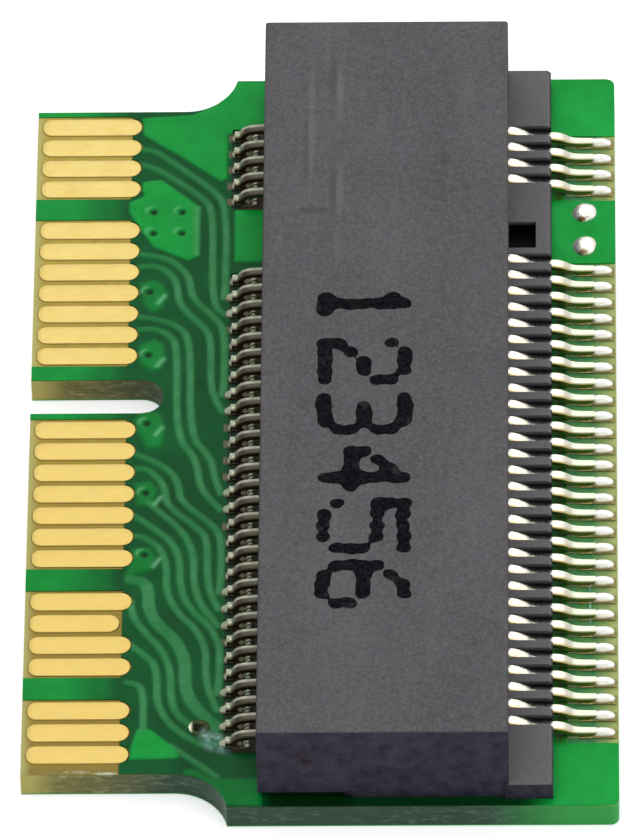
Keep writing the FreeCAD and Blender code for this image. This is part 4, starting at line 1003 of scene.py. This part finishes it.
# Painted shadow of the socket on the lacquer along the near edge, darkest beside the gap under it;
# it shares the vias' dark tone.
near_edge_shadow = (smooth_step((-10.6 - y) / 0.2) * smooth_step((5.3 - x) / 0.9)
              * smooth_step((x + 1.38) / 0.35))
# Painted brown shade on the lacquer beside the front pads, under the contacts' humps.
piece("lacquer_field", points, faces, lacquer, "green_lacquer", (),
      {"plane": np.clip(beyond, 0, 1) * (1 - near_edge_shadow),
       "eye_and_shadow": near_edge_shadow * (0.75 + 0.25 * smooth_step((0.80 - x) / 0.15)),
       "shade_beside_pads": 0.8 * smooth_step(1.0 - np.abs(x - 5.42) / 0.22) * in_row(y)})


# %% [markdown]
# ## Gold fingers
# A finger is a flat plated bar.  Its outer end has eased corners, its inner end is a
# half circle, and etching leaves its edge slightly sloped.  A block with a Bevel modifier
# comes close, but it rounds every edge alike.  Here the outline is four corner arcs, and
# each ring of the surface is the same outline, drawn in by a little and lifted.

# %% Bars with rounded corners
def corner_arcs(x0, x1, half, round_start, round_end, inset, steps=6):
    """Outline of a bar along X, drawn in by inset.

    Each corner is a quarter circle about its own centre, with the inset taken off its
    radius, so all rings run parallel.
    """
    turn = np.linspace(0, math.pi / 2, steps)
    parts = []
    for quarter, (x, y, r) in enumerate([(x1 - round_end, half - round_end, round_end),
                                         (x0 + round_start, half - round_start, round_start),
                                         (x0 + round_start, round_start - half, round_start),
                                         (x1 - round_end, round_end - half, round_end)]):
        angle = turn + quarter * math.pi / 2
        reach = max(r - inset, 0.002)
        parts.append(np.stack([x + reach * np.cos(angle), y + reach * np.sin(angle)], -1))
    return np.concatenate(parts)


def plated_bar(x0, x1, wide, low, high, round_start, round_end, slope=0.014, crown=0.0015):
    """Closed bar: foot, sloped wall, rounded edge and a faintly crowned top.

    The wall reading says where painted shade goes: about one half on the wall that faces -Y, 0.15
    on the ends and the other wall, and 0 on top.
    """
    rings = [(0.0, low), (slope * 0.6, high - slope), (slope, high - slope * 0.35),
             (slope * 2.2, high - crown), (min(round_start, wide / 2) * 0.8, high)]
    outlines = [corner_arcs(x0, x1, wide / 2, round_start, round_end, inset) for inset, _ in rings]
    around = len(outlines[0])
    points = np.concatenate([np.column_stack([outline, np.full(around, z)])
                             for outline, (_, z) in zip(outlines, rings)])
    sides = ring_bands(len(rings), around)
    cap = np.arange(around)[None] + around * (len(rings) - 1)
    base = np.arange(around)[None, ::-1]
    side = 0.15 + 0.85 * smooth_step(-points[:, 1] / wide - 0.05)
    wall = np.repeat([1.0, 1.0, 0.5, 0.0, 0.0], around) * side
    return points, [sides, cap, base], wall


print("a plain bar has", len(plated_bar(0, 1, 0.5, 0, 0.03, 0.1, 0.2)[0]), "points")


# %% [markdown]
# ## Gold
# Gold plating is softer than a mirror.  One flat yellow metal would look like brass, so the tone
# clouds, fine streaks run along the bar, the way it is pushed in and pulled out, and the sloped
# walls get a painted brown shade, strongest on the wall that faces -Y.

# %% Gold
def gold_finish():
    """Soft gold: cloudy tone, fine streaks along the bar, painted brown shade at the sloped walls.
    """
    f = Finish("finger_gold")
    cloud = f.noise(1.6, 5.0, 0.6)
    streak = f.noise(4.0, 4.0, 0.65, f.stretch(0.6, 5.0, 1.0))
    tone = f.blend(f.remap(cloud, 0.35, 0.7), (0.475, 0.370, 0.132), (0.435, 0.325, 0.098))
    tone = f.blend(f.remap(f.axis("Y"), 9.0, -4.0, 0.0, 0.8), tone, (0.435, 0.315, 0.089))
    tone = f.blend(f.remap(streak, 0.55, 0.8, 0.0, 0.5), tone, (0.51, 0.43, 0.21))
    tone = f.blend(f.remap(f.axis("X"), -6.48, -6.64, 0.0, 0.6), tone, (0.28, 0.225, 0.066))
    # Painted shade: the sloped walls go brown, most on the wall that faces -Y.
    tone = f.blend(f.reading("wall"), tone, (0.14, 0.070, 0.006))
    bump = f.height(streak, 0.004, 0.6, f.height(cloud, 0.02, 0.35))
    return f.set(Base_Color=tone, Metallic=1.0, Normal=bump,
                 Roughness=f.remap(streak, 0.3, 0.7, 0.30, 0.46))


finger_gold = gold_finish()
print("finish", finger_gold.name)


# %% Two rows of fingers
def finger_row(name, nodes, flip=False):
    """All fingers of one face; a short one ends where its CAD solid ends."""
    bars, walls = [], []
    for node in nodes:
        low, high = box_mm(node)
        corners = points_mm(node)
        for line in centre_lines(node, FINGER_PITCH, finger_wide):
            own = corners[np.abs(corners[:, 1] - line) < finger_wide / 2 + 0.01]
            points, faces, wall = plated_bar(own[:, 0].min(), own[:, 0].max(), finger_wide,
                                             low[2], high[2], 0.22, finger_wide / 2 - 0.001)
            points[:, 1] += line
            if flip:
                points[:, 2] = low[2] + high[2] - points[:, 2]
                faces = [group[:, ::-1] for group in faces]
            bars.append((points, faces))
            walls.append(wall)
    piece(name, *merged(bars), finger_gold, "gold", nodes, {"wall": np.concatenate(walls)},
          crease=60.0)


lower_groups = sorted(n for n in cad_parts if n.startswith("fingers_bottom"))
finger_row("gold_fingers_upper", sorted(finger_groups))
finger_row("gold_fingers_lower", lower_groups, flip=True)


# %% [markdown]
# ## Spring contacts
# A contact is stamped from strip and bent.  A curve with a round bevel would make it
# look like wire, so a section with flat faces and eased edges is carried along its line.
# The CAD solid gives the corner points of the bends, and here they are rounded.  The broad faces
# are tinned, and the cut flanks show darker metal, deepened by painted shade.

# %% A strip carried along its line
def strip_stations(node):
    """Places along X where one strip bends, with its lower and upper height there."""
    corners = points_mm(node)
    side = corners[corners[:, 1] < corners[:, 1].min() + 0.01]
    xs = np.unique(side[:, 0].round(3))
    near = np.abs(side[:, 0] - xs[:, None]) < 0.002
    low = np.where(near, side[:, 2], 99.0).min(1)
    high = np.where(near, side[:, 2], -99.0).max(1)
    return xs, low, high


def resample(line, step):
    """The same line with points at even steps of its length."""
    travel = np.concatenate([[0], np.cumsum(np.hypot(*np.diff(line, axis=0).T))])
    at = np.linspace(0, travel[-1], int(round(travel[-1] / step)) + 1)
    return np.stack([np.interp(at, travel, line[:, 0]), np.interp(at, travel, line[:, 1])], -1)


def bent_strip(line, wide, thick, ease=0.022):
    """Strip carried along a line in X and Z; wide holds one width for each point.

    At each point the section is an eight-sided loop: half widths along Y, half
    thickness along the normal of the line, with the corners cut by ease.  The side
    reading runs from -1 on the near edge to 1 on the far one.
    """
    run = np.gradient(line, axis=0)
    run /= np.hypot(run[:, 0], run[:, 1])[:, None]
    a, b = np.asarray(wide)[:, None] / 2, thick / 2
    across = a * (1, 1, 1, -1, -1, -1, -1, 1) + ease * np.array([0, 0, -1, 1, 0, 0, 1, -1])
    lift = np.array([-b + ease, b - ease, b, b, b - ease, -b + ease, -b, -b])
    x = line[:, 0, None] - run[:, 1, None] * lift
    z = line[:, 1, None] + run[:, 0, None] * lift
    points = np.stack([x, across, z], -1).reshape(-1, 3)
    bands = ring_bands(len(line), 8)
    head = np.arange(8)[None, ::-1]
    tail = np.arange(8)[None] + 8 * (len(line) - 1)
    return points, [bands, head, tail], (across / a).ravel()


print("strip tools ready")


# %% [markdown]
# ## Tinned strip
# One even tin would look like foil.  The far part of each face keeps the bright tin, the near part
# gets a painted shade, and the cut flanks are darker still, as bare metal and as painted shade.  A
# reading that runs across the strip says which part a point is on, and a function for each row lays
# further tones, mostly painted shade, along it.

# %% Tinned strip
def contact_finish(name, bright, dull, shade_tone, side_from, side_to, shade, flank, metallic):
    """Tinned strip: bright face, a painted shade over part of its width, cut flanks dark as bare
    metal and as painted shade.

    shade is a function that lays further tones, mostly painted shade, over stretches of the strip
    along X.
    """
    f = Finish(name)
    cloud = f.noise(3.5, 4.0, 0.6)
    fine = f.noise(14.0, 3.0, 0.6)
    tone = f.blend(f.remap(cloud, 0.35, 0.7), bright, dull)
    side = f.reading("side")
    # Painted shade over the near part of each face.
    tone = f.blend(f.remap(side, side_from, side_to), tone, shade_tone)
    tone = shade(f, tone)
    # The cut flanks are darker: bare metal, deepened by painted shade.
    tone = f.blend(f.remap(f.sum("ABSOLUTE", side, 0.0), 0.84, 0.97), tone, flank)
    bump = f.height(fine, 0.004, 0.6)
    return f.set(Base_Color=tone, Metallic=metallic, Normal=bump,
                 Roughness=f.remap(fine, 0.3, 0.7, 0.22, 0.38))


def front_shade(f, tone):
    """Painted grey shade in the channel, but for a bright drop where the strip leaves the socket.

    The drop's half width falls from the full width to nothing along X, and its middle
    lies toward the near edge.  Beyond the lip the shank is a little greener.
    """
    along = f.axis("X")
    off_middle = f.sum("ABSOLUTE", f.sum("ADD", f.reading("side"), 0.22), 0.0)
    limit = f.sum("MINIMUM", f.remap(along, 4.46, 4.95, 1.15, 0.0),
                  f.remap(along, 4.25, 4.33, 0.35, 1.3))
    outside = f.remap(f.sum("SUBTRACT", off_middle, limit), -0.05, 0.12)
    inside = f.sum("MULTIPLY", outside, f.remap(along, 5.27, 5.19))
    tone = f.blend(f.remap(along, 5.62, 5.74), tone, (0.47, 0.51, 0.395))
    # Painted shade: grey in the channel of the lip.
    return f.blend(inside, tone, (0.17, 0.16, 0.165))


def rear_shade(f, tone):
    """Painted dark brown shade over the near half of the arch and near the socket; the toe stays
    bright.
    """
    near = f.remap(f.reading("side"), 0.30, -0.05)
    arch = f.remap(f.axis("X"), -2.00, -1.90)
    tone = f.blend(f.sum("MULTIPLY", near, arch), tone, (0.030, 0.022, 0.012))
    tone = f.blend(f.remap(f.axis("X"), -1.88, -1.58, 0.0, 0.5), tone, (0.06, 0.055, 0.035))
    return f.blend(f.remap(f.axis("X"), -1.44, -1.34), tone, (0.02, 0.018, 0.016))


print("contact finishes ready")


# %% Bend lines from the CAD
front_bends, front_lows, front_highs = strip_stations("lower_contacts_main")
strip_thick = (front_highs - front_lows)[-1]
middles = (front_lows + front_highs) / 2
front_line = resample(rounded(np.stack([front_bends, middles], -1)), 0.055)
front_line[:, 1] -= 0.03 * smooth_step((front_line[:, 0] - 3.9) / 0.4) * smooth_step(
    (5.1 - front_line[:, 0]) / 0.4)
front_wide = np.interp(front_line[:, 0], (4.20, 4.27, 5.16, 5.24, 5.30, 5.40, 5.56, 5.72, 6.22),
                       (0.22, 0.278, 0.27, 0.22, 0.245, 0.25, 0.235, 0.20, 0.18))

rear_bends, rear_lows, rear_highs = strip_stations("upper_contacts_main")
toe_mid, run_mid = rear_lows[0] + strip_thick / 2, rear_lows[4] + strip_thick / 2
beam_mid = rear_highs[3] - strip_thick / 2
leg = (rear_bends[3] + rear_bends[4]) / 2
arch = [[rear_bends[0], toe_mid], [rear_bends[0] + 0.15, toe_mid],
        [rear_bends[0] + 0.27, run_mid - 0.05], [rear_bends[2], run_mid],
        [leg, run_mid], [leg, beam_mid]]
rear_line = rounded(np.concatenate([
    arch, np.stack([rear_bends[5:], (rear_lows + rear_highs)[5:] / 2], -1)]), 2)
print("front contacts bend at", front_bends.round(3))
print("rear contacts bend at", rear_bends.round(3))

# %% Two rows of contacts
rear_tin = contact_finish("rear_contact_tin", (0.38, 0.39, 0.30), (0.26, 0.27, 0.19),
                          (0.13, 0.10, 0.06), 0.1, -0.8, rear_shade, (0.062, 0.044, 0.022), 0.6)
front_tin = contact_finish("front_contact_tin", (0.70, 0.69, 0.59), (0.60, 0.585, 0.46),
                           (0.54, 0.42, 0.22), -0.35, -0.85, front_shade, (0.40, 0.33, 0.12), 1.0)
for name, line, lines, wide, finish, nodes in (
        ("contacts_rear_row", rear_line, tail_lines, np.full(len(rear_line), contact_wide),
         rear_tin, ("upper_contacts_main", "upper_contacts_key")),
        ("contacts_front_row", front_line, front_lines, front_wide,
         front_tin, ("lower_contacts_main", "lower_contacts_key"))):
    points, faces, side = bent_strip(line, wide, strip_thick)
    piece(name, *copies(points, faces, lines), finish, "contact_metal", nodes,
          {"side": np.tile(side, len(lines))})


# %% [markdown]
# ## Solder joints
# Molten solder wets the pad and gathers in pillows: one over the toe of the foot, and on
# the rear row another at the heel.  Metaballs would melt together as solder does, but
# they make far too many faces for 67 joints.  A joint is a small height field over its
# pad: each pillow is a dome over an oval, and the height is that of the highest of them.

# %% One joint, and rows of joints and pads
def solder_joint(x0, x1, half, low, pillows, skin=0.010):
    """Grid over a pad; each pillow holds centre, half length, half width and height.

    The height is the greatest of a thin skin, which rises from the rim as a square root,
    and for every pillow its height times the root of 1 - r squared, where r is the
    distance in a rounded oval with a power of 2.6.
    """
    across = np.array([-1.0, -0.94, -0.8, -0.55, -0.2, 0.2, 0.55, 0.8, 0.94, 1.0]) * half
    u = np.linspace(0, 1, 21)
    along = x0 + (x1 - x0) * (0.35 * u + 0.65 * (0.5 - 0.5 * np.cos(math.pi * u)))
    x, y = np.meshgrid(along, across, indexing="ij")
    rim = np.sqrt(np.clip(-from_box(x, y, x0, x1, -half, half) / 0.03, 0, 1))
    z = low + rim * skin
    for centre, long, broad, high in pillows:
        r = (np.abs((x - centre) / long) ** 2.6 + np.abs(y / broad) ** 2.6) ** (1 / 2.6)
        z = np.maximum(z, low + high * np.sqrt(np.clip(1 - r * r, 0, 1)))
    upper = np.stack([x, y, z], -1).reshape(-1, 3)
    lower = upper * (1, 1, 0) + (0, 0, low - 0.004)
    n, m = x.shape
    number = np.arange(n * m).reshape(n, m)
    cells = np.stack([number[:-1, :-1], number[1:, :-1], number[1:, 1:], number[:-1, 1:]], -1)
    cells = cells.reshape(-1, 4)
    loop = np.concatenate([number[:, 0], number[-1, 1:], number[-2::-1, -1], number[0, -2:0:-1]])
    after = np.roll(loop, -1)
    walls = np.stack([loop + n * m, after + n * m, after, loop], -1)
    lift = np.concatenate([(z - low).ravel(), np.zeros(n * m)])
    return np.concatenate([upper, lower]), [cells, cells[:, ::-1] + n * m, walls], lift


def joint_row(name, nodes, x0, x1, half, low, lines, pillows, finish):
    """The same joint on every line; the lift reading is its height above the pad."""
    points, faces, lift = solder_joint(x0, x1, half, low, pillows)
    piece(name, *copies(points, faces, lines), finish, "solder", nodes,
          {"lift": np.tile(lift, len(lines))}, crease=60.0)


def pad_row(name, node, x0, x1, wide, lines, finish):
    """Flat pads under the joints, each a plated bar like a finger."""
    low, high = box_mm(node)
    points, faces, wall = plated_bar(x0, x1, wide, low[2], high[2], 0.05, 0.05)
    piece(name, *copies(points, faces, lines), finish, "solder", (node,),
          {"wall": np.tile(wall, len(lines))}, crease=60.0)


print("joint and pad tools ready")


# %% [markdown]
# ## Solder and pad plating
# Solder is bright where it stands high and darker where it runs thin over the pad.  Two
# materials would show a seam on every joint.  The lift reading, the height above the pad,
# lets one finish pass from foot to pillow, and a cloud keeps the shine from being even.

# %% Solder and pads
def solder_finish(name, bright, dull, foot, knee, metallic):
    """Solder with a cloudy skin, bright on the pillows and dark down at the pad."""
    f = Finish(name)
    cloud = f.noise(4.0, 4.0, 0.6)
    grain = f.noise(22.0, 3.0, 0.6)
    tone = f.blend(f.remap(cloud, 0.40, 0.70), bright, dull)
    tone = f.blend(f.remap(f.reading("lift"), knee, 0.4 * knee), tone, foot)
    bump = f.height(cloud, 0.008, 0.6, f.height(grain, 0.002, 0.5))
    return f.set(Base_Color=tone, Metallic=metallic, Normal=bump,
                 Roughness=f.remap(grain, 0.3, 0.7, 0.24, 0.40))


def pad_finish(name, bright, dull):
    """Thin plating over the copper pad, with a painted brown shade at its wall."""
    f = Finish(name)
    cloud = f.noise(5.0, 4.0, 0.6)
    tone = f.blend(f.remap(cloud, 0.4, 0.7), bright, dull)
    # Painted shade at the pad's wall, strongest on the side that faces -Y.
    tone = f.blend(f.reading("wall"), tone, (0.08, 0.065, 0.012))
    return f.set(Base_Color=tone, Metallic=0.3, Normal=f.height(cloud, 0.01, 0.5),
                 Roughness=f.remap(cloud, 0.3, 0.7, 0.25, 0.45))


print("solder and pad finishes ready")


# %% Two rows of joints and pads
front_solder = solder_finish("front_solder", (0.97, 0.97, 0.91), (0.90, 0.87, 0.74),
                             (0.22, 0.19, 0.06), 0.085, 0.60)
# The rear row's solder and pads are painted much darker than the front row's: painted shade beside
# the socket.
rear_solder = solder_finish("rear_solder", (0.38, 0.43, 0.30), (0.26, 0.29, 0.18),
                            (0.060, 0.050, 0.024), 0.055, 0.6)
front_pad = pad_finish("front_pad_gold", (0.36, 0.46, 0.22), (0.28, 0.42, 0.19))
rear_pad = pad_finish("rear_pad_gold", (0.06, 0.05, 0.022), (0.04, 0.035, 0.015))

pad_low, pad_high = box_mm("front_pads")
toe = front_bends[-1]
joint_row("solder_front_row", ("solder_front",), pad_low[0] + 0.30, toe + 0.46, 0.128,
          pad_high[2] + 0.002, front_lines, [(toe + 0.14, 0.29, 0.120, 0.178)], front_solder)
pad_row("pads_front_row", "front_pads", pad_low[0], pad_high[0], 0.20, front_lines, front_pad)

pad_low, pad_high = box_mm("rear_pads")
# Contacts with a trace of their own have a longer joint; these are their numbers.
wired = c_y(np.array([55, 53, 43, 41, 31, 29, 19, 17, 15, 7, 5, 3, 1]))
far_toe = np.abs(tail_lines[:, None] - wired).min(1) < 0.05
heel = (-1.62, 0.11, 0.115, 0.10)
for name, nodes, lines, pillows in (
        ("solder_rear_wired", ("solder_rear",), tail_lines[far_toe],
         [(pad_low[0] + 0.27, 0.165, 0.118, 0.185), (pad_low[0] + 0.17, 0.13, 0.095, 0.12), heel]),
        ("solder_rear_plain", (), tail_lines[~far_toe],
         [(pad_low[0] + 0.29, 0.145, 0.118, 0.185), heel])):
    joint_row(name, nodes, pad_low[0] + 0.03, pad_high[0] + 0.06, 0.120, pad_high[2] - 0.006,
              lines, pillows, rear_solder)
pad_row("pads_rear_row", "rear_pads", pad_low[0] + 0.14, pad_high[0], 0.22, tail_lines, rear_pad)


# %% [markdown]
# ## Filled vias
# Two vias beside the socket are plugged with solder that stands up in a lopsided drop.
# A squashed sphere would look turned on a lathe, and molten metal does not.  Each drop is
# a surface of rings: radius follows the sine and height the cosine of one angle, the
# radius wavers, and the crown is pushed a little to one side.

# %% Two drops
def drop(centre_x, centre_y, low, radius, tall, lean_x, lean_y, seed, rings=9, around=28):
    """Closed drop: rings of radius R sin a and height H cos a, leaning toward the crown."""
    rng = np.random.default_rng(seed)
    angle = np.linspace(math.pi / 2, 0.10, rings)[:, None]
    turn = np.linspace(0, 2 * math.pi, around, endpoint=False)[None]
    waver = 1.0 + sum(rng.uniform(-0.035, 0.035) * np.cos(k * turn + rng.uniform(0, 6.3))
                      for k in (2, 3, 5))
    rise = np.cos(angle)
    x = centre_x + radius * np.sin(angle) * waver * np.cos(turn) + lean_x * rise
    y = centre_y + radius * np.sin(angle) * waver * np.sin(turn) + lean_y * rise
    z = low + tall * rise * (1.0 + 0.10 * np.cos(turn) * np.sin(angle)) + 0 * turn
    points = np.stack([x, y, z], -1).reshape(-1, 3)
    cap = np.arange(around)[None] + around * (rings - 1)
    base = np.arange(around)[None, ::-1]
    return points, [ring_bands(rings, around), cap, base]


def drop_finish():
    """Solder drop: white, clouded with tan, and one brown notch low on its near side."""
    f = Finish("drop_solder")
    cloud = f.noise(4.0, 4.0, 0.6)
    tone = f.blend(f.remap(cloud, 0.4, 0.7), (0.92, 0.92, 0.88), (0.74, 0.68, 0.50))
    ragged = f.sum("ADD", f.reading("turned"),
                   f.remap(f.noise(7.0, 4.0, 0.7), 0.3, 0.7, -0.45, 0.45))
    tone = f.blend(f.remap(ragged, 0.0, 0.7), tone, (0.15, 0.10, 0.022))
    bump = f.height(cloud, 0.04, 0.6)
    return f.set(Base_Color=tone, Metallic=0.75, Normal=bump,
                 Roughness=f.remap(cloud, 0.3, 0.7, 0.16, 0.34))


DROP_ROUND, DROP_STEP = 0.285, 1.04
drop_x, drop_y = tin_high[0] - DROP_ROUND, tin_high[1] - DROP_ROUND
drops, turned = [], []
for seed, line in ((11, drop_y), (12, drop_y - DROP_STEP)):
    points, faces = drop(drop_x, line, sheet_top - 0.005, DROP_ROUND, tin_high[2] - sheet_top,
                         0.05, 0.02, seed)
    out = (points[:, :2] - (drop_x, line)) / DROP_ROUND
    turned.append(1.0 - np.hypot((out[:, 0] + 0.22) / 0.62, (out[:, 1] + 0.80) / 0.30))
    drops.append((points, faces))
piece("solder_drops", *merged(drops), drop_finish(), "solder", ("tinned_vias",),
      {"turned": np.concatenate(turned)})


# %% [markdown]
# ## Open ring
# A third via, near the corner, keeps an open bore in a dull ring of tin.  A torus would
# be too round, because the real ring is flat on top and steep outside.  Here a loop of
# radius and height is given first and then carried round a circle.

# %% The open ring
def turned_ring(centre_x, centre_y, profile, around=32):
    """Closed ring: a loop of radius and height carried round a circle."""
    profile = np.asarray(profile)
    turn = np.linspace(0, 2 * math.pi, around, endpoint=False)
    radius, height = profile[:, 0, None], profile[:, 1, None]
    x, y = centre_x + radius * np.cos(turn), centre_y + radius * np.sin(turn)
    points = np.stack([x, y, np.broadcast_to(height, x.shape)], -1).reshape(-1, 3)
    bands = ring_bands(len(profile), around)
    last = (len(profile) - 1) * around
    step = np.arange(around)
    close = np.stack([last + step, last + (step + 1) % around, (step + 1) % around, step], -1)
    return points, [bands, close]


def dull_ring_finish():
    """Dull tin under a skin of flux: olive grey, with a painted highlight along one side."""
    f = Finish("ring_tin")
    cloud = f.noise(6.0, 4.0, 0.6)
    tone = f.blend(f.remap(cloud, 0.4, 0.7), (0.034, 0.046, 0.022), (0.018, 0.032, 0.012))
    # Painted highlight on the left side of the ring.
    tone = f.blend(f.remap(f.axis("X"), ring_via[0] - 0.14, ring_via[0] - 0.24), tone,
                   (0.62, 0.66, 0.44))
    return f.set(Base_Color=tone, Metallic=1.0, Normal=f.height(cloud, 0.02, 0.6),
                 Roughness=0.3)


ring_top = sheet_top + 0.03
points, faces = turned_ring(*ring_via, [
    (0.10, BOARD_TOP - 0.10), (0.235, BOARD_TOP), (0.235, ring_top - 0.012), (0.205, ring_top),
    (0.14, ring_top - 0.004), (0.10, ring_top - 0.03)])
piece("tinned_ring", points, faces, dull_ring_finish(), "solder")


# %% [markdown]
# ## Flux films
# Flux that was not washed off dries to a clouded, glassy film beside the ring and along
# the front row.  Painted into the lacquer it would lose its own shine.  It is a very thin
# closed film whose alpha fades from the middle to the rim.

# %% Flux films
def residue_finish():
    """Clouded flux: a thin glassy film, whitish teal and patchy."""
    f = Finish("flux_residue")
    cloud = f.noise(3.5, 5.0, 0.65)
    tone = f.blend(f.remap(cloud, 0.35, 0.65), (0.06, 0.36, 0.25), (0.34, 0.56, 0.46))
    film = f.sum("MULTIPLY", f.reading("film"), f.remap(cloud, 0.28, 0.62))
    return f.set(Base_Color=tone, Alpha=film, Roughness=0.25)


def film_patch(name, centre_x, centre_y, half_x, half_y, slant, height, seed):
    """Thin closed film over an uneven oval; its film reading fades from 1 to 0 at the rim.

    Rings shrink toward the middle, and the height there rises by 1 less share squared.
    """
    rings, around = 9, 30
    rng = np.random.default_rng(seed)
    share, turn = np.meshgrid(np.linspace(1, 0.04, rings),
                              np.linspace(0, 2 * math.pi, around, endpoint=False), indexing="ij")
    waver = 1.0 + sum(rng.uniform(-0.12, 0.12) * np.cos(k * turn + rng.uniform(0, 6.3))
                      for k in (2, 3, 4))
    u, v = share * waver * np.cos(turn) * half_x, share * waver * np.sin(turn) * half_y
    x = centre_x + u * math.cos(slant) - v * math.sin(slant)
    y = centre_y + u * math.sin(slant) + v * math.cos(slant)
    upper = np.stack([x, y, height + 0.012 * (1 - share ** 2)], -1).reshape(-1, 3)
    lower = upper[:around] - (0, 0, 0.004)
    points = np.concatenate([lower, upper])
    cap = np.arange(around)[None] + around * rings
    base = np.arange(around)[None, ::-1]
    fade = smooth_step(1.15 * (1 - share)).ravel()
    piece(name, points, [ring_bands(rings + 1, around), cap, base], residue_finish(), None, (),
          {"film": np.concatenate([np.zeros(around), fade])})


film_patch("flux_by_ring", ring_via[0] + 0.32, ring_via[1] - 0.42, 0.56, 0.34, -0.95,
           lacquer_high[2] + 0.002, 5)
film_patch("flux_by_front_row", 6.09, -5.10, 0.05, 0.95, 0.0, sheet_top + 0.004, 8)


# %% [markdown]
# ## Print on the socket
# A line of plain digits is stamped in black ink by a dot printer, reading along the
# socket.  A text object gives letters that are far too clean for that.  Each digit is a
# pattern of dots five wide and seven high; the ink runs, so neighbouring dots melt
# together.  Ink is a thin sheet cut from a fine grid: the distance to the melted dots is
# bent by slow waves, so the outline is uneven.

# %% Dots of each digit
DIGITS = {
    "1": ["00100", "01100", "00100", "00100", "00100", "00100", "01110"],
    "2": ["01110", "10001", "00001", "00110", "01000", "10000", "11111"],
    "3": ["11110", "00001", "00001", "01110", "00001", "00001", "11110"],
    "4": ["00010", "00110", "01010", "10010", "11111", "00010", "00010"],
    "5": ["11111", "10000", "11110", "00001", "00001", "10001", "01110"],
    "6": ["00110", "01000", "10000", "11110", "10001", "10001", "01110"],
}
# Each digit and where it starts and ends along Y.
INK_LINE = [("1", 2.41, 1.60), ("2", 0.99, -0.51), ("3", -0.69, -2.01),
            ("4", -2.30, -3.73), ("5", -3.87, -5.59), ("6", -5.73, -7.23)]
INK_FOOT, INK_HEAD = -0.105, 2.075
DOT_ROUND, DOT_INSET = 0.142, 0.18
DOT_MELT, DOT_SQUASH, INK_WAVER = 0.080, 0.92, 0.030
INK_GRID, INK_MARGIN = 0.045, 0.24
INK_UNDER, INK_TOP = house_high[2] + 0.001, house_high[2] + 0.006


def digit_dots(mark, left, right):
    """Dot centres of one digit; its head points to +X and it reads toward -Y."""
    grid = np.array([[int(c) for c in row] for row in DIGITS[mark]])
    row, column = np.nonzero(grid)
    first, last = column.min(), column.max()
    share = (column - first) / max(last - first, 1)
    x = INK_HEAD - DOT_INSET - row / 6 * (INK_HEAD - INK_FOOT - 2 * DOT_INSET)
    y = left - DOT_INSET + share * (right - left + 2 * DOT_INSET)
    return np.stack([x, y], -1)


marks = [digit_dots(*entry) for entry in INK_LINE]
print("dots per digit", [len(dots) for dots in marks])


# %% Ink
def from_ink(x, y):
    """Distance outside the ink, bent by three slow waves.

    Dots melt together: the distance is minus k times the log of the sum, over all dots,
    of e to the power of minus distance over k.
    """
    far = np.array([np.hypot((x - dx) * DOT_SQUASH, y - dy) for dx, dy in ink_dots])
    gap = -DOT_MELT * np.log(np.exp(-far / DOT_MELT).sum(0) + 1e-30)
    waves = (np.sin(9.1 * x + 4.3 * y) + np.sin(6.7 * y - 7.9 * x + 1.3)
             + np.sin(17.0 * x + 1.0) * np.sin(13.0 * y)) / 3
    return gap - DOT_ROUND - INK_WAVER * waves


def ink_finish():
    """Black ink, thin in places so that the grey plastic greys it."""
    f = Finish("ink")
    grain = f.noise(13.0, 6.0, 0.72)
    thin = f.noise(2.6, 4.0, 0.65)
    tone = f.blend(f.remap(grain, 0.42, 0.70), (0.0045, 0.004, 0.006), (0.020, 0.018, 0.020))
    tone = f.blend(f.remap(thin, 0.56, 0.76, 0.0, 0.75), tone, (0.050, 0.046, 0.050))
    return f.set(Base_Color=tone, Roughness=0.6, Normal=f.height(grain, 0.008, 0.7),
                 Specular_IOR_Level=0.0)


ink = ink_finish()
sheets = []
for ink_dots in marks:
    low, high = ink_dots.min(0) - INK_MARGIN, ink_dots.max(0) + INK_MARGIN
    points, faces, _, _ = cut_sheet(
        even_steps(low[0], high[0], INK_GRID), even_steps(low[1], high[1], INK_GRID),
        from_ink, lambda x, y: np.full(x.shape, INK_TOP), INK_UNDER)
    sheets.append((points, faces))
piece("stamped_digits", *merged(sheets), ink, None)


# %% [markdown]
# ## Floor
# The card lies on a white sheet.  Seen by the camera, or mirrored in metal, the sheet
# is close to plain white; it still takes the card's soft shadow.  More lamps would whiten
# it too, but they would bleach the card, so the white comes from Light Path.  The sheet
# lies a hair below the card, because two faces in one plane would flicker.

# %% Lay the floor
FLOOR_HALF = 600.0
FLOOR_DROP = 0.02


def floor_finish():
    """White paper: lit as paper is, with some plain white added for camera and mirrors."""
    f = Finish("floor_paper")
    fibre = f.noise(0.6, 3.0, 0.5)
    f.set(Base_Color=f.blend(fibre, (0.88, 0.88, 0.88), (0.92, 0.92, 0.92)), Roughness=0.9,
          Specular_IOR_Level=0.1)
    path = f.add("ShaderNodeLightPath")
    seen = f.sum("MAXIMUM", path.outputs["Is Camera Ray"], path.outputs["Is Glossy Ray"])
    seen = f.sum("MAXIMUM", seen, path.outputs["Is Transmission Ray"])
    f.set(Emission_Color=(1.0, 1.0, 1.0), Emission_Strength=f.sum("MULTIPLY", seen, 0.42))
    return f.material


floor_mesh = bpy.data.meshes.new("floor")
corners = np.array([(-1, -1), (1, -1), (1, 1), (-1, 1)]) * FLOOR_HALF
corners = np.column_stack([corners, np.full(4, -FLOOR_DROP)]) * MM
floor_mesh.from_pydata(corners.tolist(), [], [(0, 1, 2, 3)])
floor = bpy.data.objects.new("floor", floor_mesh)
floor_mesh.materials.append(floor_finish())
bpy.context.scene.collection.objects.link(floor)
print("floor", 2 * FLOOR_HALF, "mm wide")
